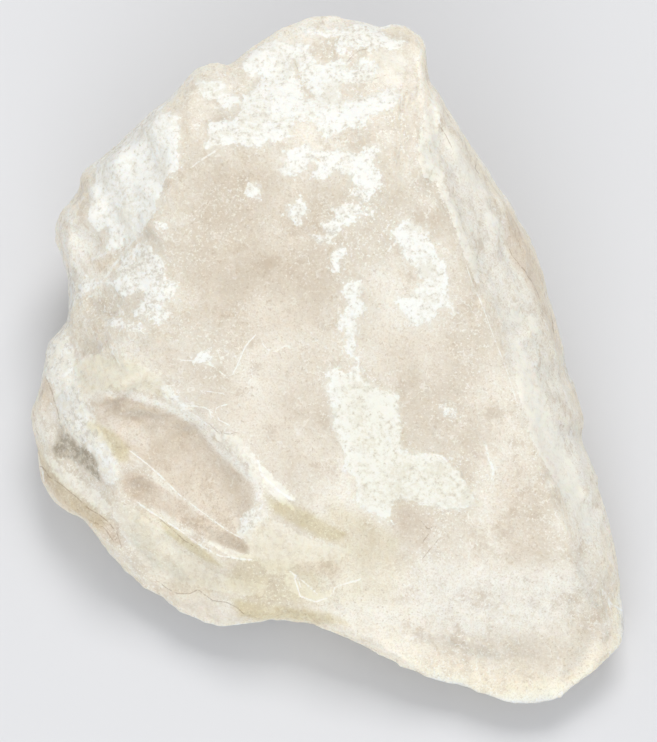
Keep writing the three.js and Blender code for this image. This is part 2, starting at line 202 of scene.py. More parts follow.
# %% [markdown]
# ## Where the marks are
#
# White crust lies on the wide face in patches with ragged edges. Each patch is an outline, in mm as
# seen, and a share that says how much of it is solid white. Painting an image would be one way to
# place them. Here every corner of the mesh is given its distance inside the nearest outline
# instead, and the material later frays that edge with noise, so that it stays crisp at any size.

# %% The crust patches
CRUST = {
    "left white band": (0.42, [
        (-20, 1.4), (-19.9, 2.1), (-19.3, 2.6), (-18.7, 2.4), (-18.3, 1.6), (-18.3, 0.6),
        (-17.9, -0.4), (-17.6, -1.5), (-17.3, -2.5), (-17.2, -3.4), (-16.5, -4.2), (-15.8, -5.2),
        (-15.2, -6.5), (-15, -7.6), (-15.5, -8.1), (-16.1, -7.7), (-16.4, -6.6), (-17, -5.6),
        (-18, -4.8), (-19, -3.7), (-19.5, -2.4), (-19.6, -0.9), (-20.2, -0.4),
    ]),
    "upper left lobe": (0.9, [
        (-9.6, 20.6), (-9.2, 20.9), (-8.7, 20.7), (-8.1, 20.8), (-7.6, 20.8), (-7.3, 20.4),
        (-7.2, 19.9), (-6.6, 19.6), (-6.2, 19.1), (-6.9, 18.9), (-7.6, 18.9), (-8, 19.5), (-8.5, 19.4),
        (-9.1, 19.5), (-9.2, 20.1),
    ]),
    "crest of the top": (0.75, [
        (-2, 24.5), (-1.3, 24.6), (-0.6, 24.4), (0.2, 24.3), (0.9, 24.4), (1.5, 24.6), (2.5, 24.8),
        (3.5, 24.4), (4.5, 23.8), (5.4, 23.4), (5.1, 22.8), (4, 23.1), (3.1, 22.8), (2.4, 23.2),
        (1.8, 22.8), (1.2, 22.4), (0.7, 22.6), (0.5, 23.4), (0.7, 23.9), (-0.5, 23.9), (-1.5, 24.1),
    ]),
    "top left slope": (0.85, [
        (-6.1, 21.6), (-6, 22.2), (-5.5, 22.8), (-4.8, 23.4), (-4, 23.8), (-3.2, 23.4), (-2.3, 23.6),
        (-1.6, 23.2), (-1.2, 22.4), (-0.5, 22.1), (0.7, 22.2), (2, 22.4), (3.1, 22.1), (3.8, 21.5),
        (3.1, 20.8), (2.1, 20.5), (1.1, 20.5), (0.8, 19.9), (1.2, 19.4), (2.4, 19.5), (3.4, 19.8),
        (4.5, 20.2), (5.2, 19.9), (5.1, 19.2), (4.2, 18.5), (3, 18.3), (2.9, 17.8), (2.2, 17.3),
        (1.2, 17.2), (0.4, 16.8), (-0.2, 16.6), (-0.8, 17.2), (-1.6, 17.6), (-2.3, 17.8), (-2.8, 17.2),
        (-2.5, 16.6), (-3.3, 16.5), (-4.3, 16.3), (-5, 15.9), (-6.2, 16.1), (-7.5, 16.1), (-8.8, 15.9),
        (-9, 16.1), (-8.5, 16.6), (-8.8, 17.2), (-8.5, 17.7), (-7.8, 17.8), (-6.6, 18.1), (-6.2, 18.8),
        (-6, 19.5), (-5.5, 20.1), (-4.9, 20.6), (-4.8, 21.1), (-5.6, 21.2),
    ]),
    "second band": (0.75, [
        (-3.1, 15.6), (-2.2, 15.9), (-1.5, 16.3), (-1.1, 15.9), (-0.4, 15.6), (1.3, 15.8), (2.2, 15.6),
        (2.5, 16), (3.5, 16.3), (3.8, 15.6), (3.1, 15.1), (3.5, 14.5), (3.7, 13.1), (2.8, 12),
        (2.2, 12), (1.5, 12.7), (2, 13.1), (1.3, 14.1), (0.6, 14.2), (0.1, 13.9), (-1.3, 13.8),
        (-0.8, 14.7), (-1.3, 14.9), (-2, 14), (-3, 13.9), (-4, 14.4), (-3.1, 14.7),
    ]),
    "round flake": (0.95, [
        (-5.8, 13.1), (-5.5, 13.5), (-5, 13.4), (-4.8, 12.9), (-5, 12.4), (-5.5, 12.4), (-5.9, 12.6),
    ]),
    "flake under the band": (0.85, [
        (-2.9, 11.8), (-2.5, 12.1), (-1.9, 12.4), (-1.5, 11.8), (-1.6, 11.1), (-2.1, 10.9), (-2, 10.4),
        (-2.5, 10.6), (-3, 11.3),
    ]),
    "hooked chain": (0.75, [
        (0.3, 11.5), (1.2, 11.9), (2.3, 11.6), (3.5, 11.4), (2.9, 11), (2.2, 11.1), (2, 10.6),
        (0.9, 10.3), (0.7, 9.6), (0.1, 9.1), (-0.8, 9), (-1.2, 9.6), (-0.3, 9.9), (-0.5, 10.6),
        (0.4, 11.1),
    ]),
    "drops under the chain": (0.7, [
        (1, 9.1), (1.2, 8.5), (0.7, 7.8), (0.8, 7.2), (0.4, 7.2), (0.3, 7.8), (0, 8.2), (0.3, 8.5),
    ]),
    "right patch": (0.86, [
        (5.7, 11.1), (6.2, 10.4), (7.2, 10), (7.1, 9.6), (7.8, 8.5), (8.4, 7.4), (8.6, 5.5), (9, 4.6),
        (8.9, 4.1), (8.5, 4.5), (7.8, 4.5), (7.3, 3.1), (7, 3.4), (6.4, 3), (5.7, 3.8), (5, 4.4),
        (4.8, 5.2), (5.4, 5.1), (6.1, 5.5), (6.8, 6.5), (5.8, 7.5), (5.2, 8.8), (4.3, 10), (5.1, 10.4),
        (5.2, 10.8),
    ]),
    "blob and neck": (0.85, [
        (1, 5.9), (1.2, 6.4), (1.7, 6.5), (2.2, 6.5), (2.5, 6.1), (2.1, 5.2), (2.8, 4.6), (3.6, 4.5),
        (2.5, 4.1), (2.1, 3.6), (1.9, 2.1), (2, 0.8), (1.4, 0.8), (1.2, 2.2), (1.3, 2.9), (0.8, 3.2),
        (0.8, 3.8), (1.3, 4.4),
    ]),
    "big patch": (0.92, [
        (-0.1, 0.1), (0.4, 0.3), (1.2, -0.2), (2, 0.4), (2.5, -0.5), (3.1, -0.6), (3.4, -1.2),
        (5, -1.6), (5.1, -3.2), (5.1, -4.9), (5.4, -5.6), (7, -5.9), (8.1, -6.1), (8.7, -6.6),
        (9.7, -8.1), (10.5, -9.4), (10.1, -9.8), (8.7, -9.9), (6.7, -9.5), (5.1, -9), (4.5, -9.1),
        (4.3, -10.9), (3, -10.2), (2.1, -9.8), (2, -8.5), (2.1, -7.8), (1, -6.9), (1.2, -5.9),
        (0.2, -3.8), (0.1, -2.1), (-0.2, -1.2),
    ]),
    "left flank": (0.95, [
        (-12, 18.6), (-10.8, 18.2), (-10.6, 17.2), (-10.7, 15.1), (-10.9, 14.2), (-11.8, 13.4),
        (-12.2, 11.5), (-13, 10.6), (-13.9, 9.6), (-14.9, 8.9), (-15.9, 8.6), (-15.8, 10.2),
        (-16.5, 9.9), (-17.3, 10.8), (-17, 11.6), (-17, 13.1), (-16.3, 15.1), (-14.2, 17.2),
    ]),
    "speckled patch": (0.68, [
        (-16.2, 6.4), (-15, 6.6), (-14.9, 8.4), (-13.8, 8.9), (-13.2, 9.4), (-12.5, 8.6), (-11.9, 8.1),
        (-11.6, 6.8), (-10.8, 6.2), (-11, 5.4), (-11.8, 4.9), (-11.5, 3.9), (-12, 3.4), (-13.9, 3.8),
        (-14, 4.2), (-13.2, 5.1), (-13.2, 5.8), (-14.3, 5.1), (-15.3, 5.9),
    ]),
    "bits on the left edge": (0.65, [
        (-17.8, 6.5), (-17.2, 6.8), (-16.5, 6.5), (-16.3, 6.2), (-17.2, 5.6), (-18, 5.1),
    ]),
    "lone flake": (0.6, [
        (-12.3, 10.5), (-11.5, 10.6), (-11.2, 10.2), (-11.9, 9.8),
    ]),
    "star fleck": (0.9, [
        (-9.5, 0.6), (-9.2, 1.6), (-8.8, 1.4), (-8.3, 1.1), (-8, 0.5), (-8.8, 0.5),
    ]),
    "white spot": (0.8, [
        (-6.1, -10.3), (-5.5, -9.8), (-4.8, -9.6), (-5, -10.8), (-5.8, -11.6), (-6.3, -11.4),
    ]),
    "small cluster": (0.55, [
        (7.7, -2.5), (9.1, -2.5), (9.1, -3.4), (8, -3.2),
    ]),
    "end of the shelf": (0.75, [
        (-12, -0.9), (-11.3, -1.3), (-10.6, -2.1), (-10, -2.7), (-10.9, -2.6), (-11.6, -1.9),
    ]),
    "flank band": (0.6, [
        (-16.3, 3.9), (-13.8, 3.6), (-12.8, 3.2), (-13.2, 2.6), (-14.3, 2.9), (-15.8, 3.2),
    ]),
}
print(len(CRUST), "patches of crust")

# %% [markdown]
# Here and there the stone shows through a patch. Each bare spot is an outline cut out of the crust.

# %% The bare spots
BARE_SPOTS = {
    "brown wedge": [
        (-1, 23.6), (0.4, 23.7), (0.7, 22.4), (0.1, 22.2), (-0.9, 22.4),
    ],
    "thin wedge": [
        (1.2, 22.4), (2, 22.9), (2.1, 22.5), (1.5, 21.6),
    ],
    "dark seam": [
        (-2.6, 22.2), (-2.2, 21.8), (-1.9, 20.9), (-1.5, 20.1), (-1, 19.5), (-1.5, 19.5), (-2, 20.2),
        (-2.5, 21.2),
    ],
    "under the seam": [
        (1, 19.9), (1.7, 20), (2, 19.6), (1.5, 19.4), (0.9, 19.4),
    ],
    "low notch": [
        (-2.2, 17.8), (-1.6, 17.9), (-1, 17.5), (-1, 16.6), (-2.2, 16.6),
    ],
    "gap by the lobe": [
        (-7.6, 21.8), (-6.3, 21.2), (-5.6, 20.9), (-5.9, 20.2), (-6.5, 19.6), (-7, 20.1), (-7.2, 20.8),
    ],
    "beside the band": [
        (-1, 15.3), (-0.5, 15.3), (-0.5, 14.9), (-1, 14.9),
    ],
    "low in the top field": [
        (-2.3, 17.4), (-1.7, 17.6), (-1, 17.2), (-1, 16.6), (-2, 16.5),
    ],
    "near the top edge": [
        (-0.8, 23.8), (0.1, 23.6), (0.6, 22.2), (-0.5, 22.4),
    ],
    "left notch": [
        (-7.6, 21.6), (-5.6, 20.8), (-6.3, 19.7), (-7.2, 20.1),
    ],
    "thin and dark": [
        (1.2, 23.1), (2.2, 22.8), (2.1, 21.5), (1.4, 21.8),
    ],
}
print(len(BARE_SPOTS), "bare spots")

# %% [markdown]
# Round the hollow and along the edges the stone is veiled by a thinner, creamy film. It is placed
# as the crust is, but the material gives it no height.

# %% The veils
VEILS = {
    "below the lip": (0.5, [
        (-6, -12.1), (-5.5, -11.1), (-4.5, -10.4), (-3.3, -10.9), (-2.2, -11.6), (-0.9, -12.2),
        (0.7, -12.4), (1.7, -12.9), (0.8, -13.4), (-0.5, -13.6), (-1.8, -13.5), (-2.8, -14.3),
        (-4, -14.5), (-5.3, -13.6),
    ]),
    "slope low left": (0.45, [
        (-15.5, -9.2), (-14.6, -9.5), (-13.5, -10.1), (-12.2, -11.1), (-10.9, -12.5), (-9.5, -13.5),
        (-8.2, -14.4), (-6.3, -14.9), (-4.2, -15.4), (-4.8, -16.1), (-6.9, -15.9), (-8.9, -15.5),
        (-10.6, -15.2), (-12, -14.6), (-13.5, -13.5), (-14.5, -12.1), (-15.2, -10.6),
    ]),
    "rim of the hollow": (0.7, [
        (-8.3, -3.8), (-7.6, -4.6), (-6.5, -4.6), (-5.6, -5.6), (-4.8, -6.8), (-4.2, -7.5),
        (-3.2, -8.2), (-2.3, -9.2), (-3.2, -9.1), (-4.2, -8.5), (-4.9, -7.9), (-5.3, -7.1), (-6, -6.5),
        (-6.9, -5.8), (-7.8, -5.1),
    ]),
    "left white ground": (0.8, [
        (-20, 1.4), (-19.9, 2.1), (-19.3, 2.6), (-18.7, 2.4), (-18.2, 1.6), (-18, 0.6), (-17.8, -0.4),
        (-17.5, -1.5), (-17.2, -2.5), (-16.9, -3.4), (-16.3, -4.2), (-15.6, -5.2), (-15, -6.5),
        (-15, -7.8), (-15.6, -8.2), (-16.2, -7.7), (-16.5, -6.6), (-17.1, -5.6), (-18.1, -4.9),
        (-19, -3.8), (-19.5, -2.4), (-19.6, -0.9), (-20.2, -0.4),
    ]),
    "lip": (0.35, [
        (-12, -15.8), (-10.8, -16), (-9.3, -15.8), (-8.3, -16.4), (-6.9, -16.9), (-5.8, -17.7),
        (-6.3, -18.1), (-8, -18.1), (-9.5, -17.5), (-10.6, -16.9),
    ]),
    "white by the lip": (0.8, [
        (-6.9, -10.6), (-5.6, -10.1), (-4.8, -9.6), (-4.2, -10.4), (-4.8, -11.5), (-5.8, -12.1),
        (-6.5, -11.8),
    ]),
    "threads low down": (0.7, [
        (-2.9, -14.2), (-2, -15.1), (-0.8, -15.9), (0.4, -15.6), (0.1, -16.4), (-1.3, -16.5),
        (-2.5, -15.9), (-3.2, -15.1),
    ]),
    "collar of the hollow": (0.65, [
        (-17.6, -1.5), (-18, -0.2), (-17.8, 0.6), (-17, 1.1), (-16.3, 1.2), (-15.5, 0.7), (-14.8, 0.9),
        (-13.9, 0.7), (-12.9, 0.2), (-11.9, -0.5), (-11.3, -1.1), (-10.8, -2.1), (-9.9, -2.5),
        (-10.9, -2.4), (-12, -1.9), (-13.3, -1.4), (-14.3, -1.1), (-15.5, -1.1), (-16.3, -1.4),
        (-16.9, -1.8), (-17.3, -2.2),
    ]),
    "grey corner": (0.45, [
        (3.1, 22.8), (4, 23.1), (5.1, 23), (5.5, 22.1), (5.4, 20.6), (4.5, 20.2), (3.7, 20.8),
        (2.8, 20.5), (2.4, 21.1), (2, 22.1),
    ]),
    "upper strip": (0.9, [
        (6.4, 15.1), (6.5, 16.5), (6.8, 18.2), (7.4, 19.4), (8, 18.8), (7.8, 16.8), (7.9, 15.1),
        (8.4, 13.2), (9, 11.9), (9.5, 10.4), (10, 9), (10.7, 7.8), (10.8, 6.2), (10.5, 6.4),
        (10.1, 7.4), (9.6, 8.6), (9, 10.1), (8.5, 11.4), (8, 12.4), (7.7, 13.4), (6.9, 13.8),
    ]),
    "strip along the edge": (0.6, [
        (8.2, 17.5), (8.8, 16.8), (9.5, 15.8), (10.1, 14.6), (10.8, 13.5), (11.5, 12.5), (11.1, 11.9),
        (10.2, 12.9), (9.5, 14.2), (8.8, 15.5), (8.2, 16.5),
    ]),
    "bright chip": (1, [
        (11, 12), (11.5, 11.5), (12, 10.7), (12.2, 9.6), (11.7, 9.9), (11.2, 10.8),
    ]),
    "lower strip": (0.85, [
        (12.9, 1.9), (13.4, 0.6), (13.4, -0.6), (13.7, -2.1), (14, -3.1), (14.5, -4.9), (15.7, -7.1),
        (17, -9.2), (18.4, -11.4), (18.8, -10.8), (18, -8.2), (17, -5.6), (15.7, -2.9), (15.4, -1.4),
        (14.8, 0.1), (14, 1.4), (13.5, 2.1),
    ]),
    "flank chips": (0.85, [
        (12.9, 4.9), (13.8, 4.9), (13.8, 3.5), (13, 3.5),
    ]),
    "flank chip low": (0.9, [
        (14.2, 3.9), (15, 3.9), (15, 2.8), (14.3, 2.8),
    ]),
    "left shelf": (0.7, [
        (-20.5, -5.8), (-19.8, -6.1), (-18.8, -7.1), (-17.6, -7.9), (-16.5, -8.6), (-15.5, -9.8),
        (-15, -10.6), (-16, -10.1), (-17.3, -9.2), (-18.8, -8.4), (-19.6, -7.4),
    ]),
    "end of the strip": (0.8, [
        (-8.8, -11.5), (-7.6, -12.4), (-6.5, -12.9), (-5.5, -13.2), (-4.8, -13.6), (-6, -13.6),
        (-7.3, -13.2), (-8.3, -12.5),
    ]),
    "bright lip": (0.85, [
        (-8.7, -3.8), (-7.8, -4.4), (-6.5, -4.8), (-5.6, -5.5), (-4.9, -6.6), (-3.5, -7.9), (-3, -9),
        (-2.2, -10.1), (-3.5, -9.4), (-4.4, -8.5), (-5.4, -7.8), (-5.8, -6.6), (-7, -5.6), (-8, -4.9),
    ]),
}
print(len(VEILS), "cream veils")

# %% [markdown]
# Fine bright lines follow folds and the rims of small steps, and dark hairlines follow open cracks.
# Each is a run of points and half its width in mm. At this width a groove would be lost between
# the mesh's corners, so they are colour alone.

# %% The bright lines and the cracks
LINES = {
    "flank edge one": (0.05, [
        (9.8, 7.8), (10.2, 6.5), (11.1, 4.4), (12, 1.9), (12.8, -0.1), (13.4, -2.1),
    ]),
    "flank edge two": (0.06, [
        (7.2, 19.5), (7.7, 18.5), (8, 17.6),
    ]),
    "scratch low right": (0.08, [
        (19.6, -15.9), (20, -16.4), (20.4, -16.8), (20.9, -17.1),
    ]),
    "crest by the top edge": (0.14, [
        (-1.9, 24.5), (-1.2, 24.4), (-0.6, 24.1), (0.1, 23.9), (0.8, 24.1),
    ]),
    "fold on the flank": (0.12, [
        (-13, 10.6), (-13.9, 9.6), (-14.9, 8.9), (-16.3, 8.2), (-17.2, 7.8),
    ]),
    "second fold": (0.1, [
        (-12.2, 11.5), (-14.3, 8.9), (-15.8, 6.9), (-16.3, 6.4),
    ]),
    "edge of the hollow": (0.06, [
        (-14.3, -5.6), (-13, -6.6), (-12, -7.5), (-10.6, -8.9), (-8.6, -10.4), (-7.2, -11.4),
        (-6.3, -11.9),
    ]),
    "lower ridge": (0.08, [
        (-13.5, -9.5), (-12, -10.5), (-10.6, -11.4), (-9.2, -12.4), (-7.8, -13.2), (-5.6, -13.5),
    ]),
    "shelf line": (0.08, [
        (-10.3, -2.7), (-9.2, -3.4), (-8.7, -3.8),
    ]),
    "crack one": (0.07, [
        (-10.6, -2.5), (-9.8, -2.5), (-8.9, -2.6), (-8.5, -2.8), (-8.4, -3.2),
    ]),
    "crack two": (0.06, [
        (-7.3, -2.4), (-8, -2.6), (-8.1, -2.9), (-7.8, -3.5), (-7.2, -3.8),
    ]),
    "crack three": (0.05, [
        (-9.2, -1.4), (-8.3, -1.5), (-7.6, -1.6),
    ]),
    "star tail": (0.06, [
        (-10.6, 0.8), (-9.5, 0.7), (-8.3, 0.4), (-7.2, -0.5),
    ]),
    "hair": (0.06, [
        (-5.3, 2.5), (-5.9, 1.8), (-6.2, 1.2), (-6.6, 0.2), (-6.8, -0.1),
    ]),
    "wave": (0.08, [
        (-4.7, 1.9), (-4.3, 1.5), (-3.8, 1.4), (-3.3, 1.7), (-2.9, 1.9), (-2.7, 1.6),
    ]),
    "thin drop": (0.05, [
        (-14.8, 3.1), (-15.1, 2.4), (-15.4, 1.4), (-15, 0.6),
    ]),
    "right streak": (0.12, [
        (11, -4.9), (11.3, -5.5), (11.5, -6.4), (11.8, -7.1), (11.7, -7.6),
    ]),
    "v streak": (0.08, [
        (-2.6, -14.4), (-1.6, -15.2), (-0.9, -15.8),
    ]),
    "v streak two": (0.08, [
        (-2.5, -14.6), (-2, -16.1), (-0.9, -16.5), (0.2, -16.1), (0.5, -15.4), (2.2, -14.9),
    ]),
    "lip band": (0.12, [
        (-5, -6.5), (-4.8, -7.4), (-4, -8.1), (-3.5, -8.6), (-2.6, -9.2),
    ]),
    "upper streak": (0.08, [
        (-9.7, 14.6), (-9.2, 15), (-8.1, 15.7),
    ]),
    "corner streak": (0.1, [
        (19.6, -15.6), (20, -16.2), (20.1, -16.9),
    ]),
    "leaf": (0.1, [
        (4.3, 8.6), (4.5, 8.9), (4.8, 9.2),
    ]),
    "yellow edge line": (0.1, [
        (-21, -5.1), (-20.8, -6.4), (-20.3, -7.8),
    ]),
}
CRACKS = {
    "above the lip": (0.045, [
        (-12.2, -15), (-11.6, -15.5), (-10.8, -15.9), (-9.9, -15.9), (-9.3, -15.6), (-8.3, -16.4),
        (-7.3, -16.5), (-6.5, -16.9), (-5.8, -17.6),
    ]),
    "on the left rim": (0.05, [
        (-20.6, -6.8), (-19.9, -7.6), (-19, -8.2), (-18, -9), (-17.2, -9.8), (-16.3, -10.3),
        (-15.6, -10.9), (-15.1, -11.6), (-14.8, -12.5),
    ]),
    "second on the rim": (0.04, [
        (-17, -10.6), (-16, -11.2), (-15.3, -12.2),
    ]),
    "dark crease": (0.05, [
        (12.8, 9.1), (13.1, 8.3), (13.8, 7.4), (14.4, 6.4), (14.8, 5.8), (15.1, 5.1),
    ]),
    "dark crease low": (0.05, [
        (15.7, 4.7), (16, 3.6), (16.2, 2.5),
    ]),
    "short crack": (0.04, [
        (8, 17.4), (8.4, 16.8), (8.8, 16),
    ]),
    "hook by the edge": (0.04, [
        (10.6, 15.2), (10.5, 14.5), (10.8, 14.1),
    ]),
    "squiggle": (0.05, [
        (6.6, -10.7), (7.1, -11.3), (7.5, -11.1), (7.2, -11.6), (6.8, -12.1),
    ]),
    "squiggle tail": (0.035, [
        (7.8, -12.1), (7.2, -12.8), (6.8, -13.3),
    ]),
    "window edge": (0.05, [
        (-20.1, -0.4), (-19.8, -1.2), (-19.6, -2.2), (-19.2, -3.4),
    ]),
    "fold in the top": (0.04, [
        (-2.6, 22.4), (-2.2, 21.6), (-1.8, 20.8), (-1.2, 19.9),
    ]),
    "fold by the crest": (0.04, [
        (1.1, 21.8), (1.7, 22.5), (2.2, 22.9), (2.9, 23),
    ]),
    "fold under the crest": (0.04, [
        (2.2, 20.5), (3.1, 20.8), (4, 21.1),
    ]),
    "line by the hollow": (0.035, [
        (-8.5, -3.8), (-7.9, -4.4), (-7.2, -4.5), (-6.6, -4.4),
    ]),
    "olive line": (0.045, [
        (-12, -10.6), (-11.3, -11.2), (-10.3, -12.1), (-9.5, -12.6),
    ]),
}
print(len(LINES), "bright lines and", len(CRACKS), "cracks")
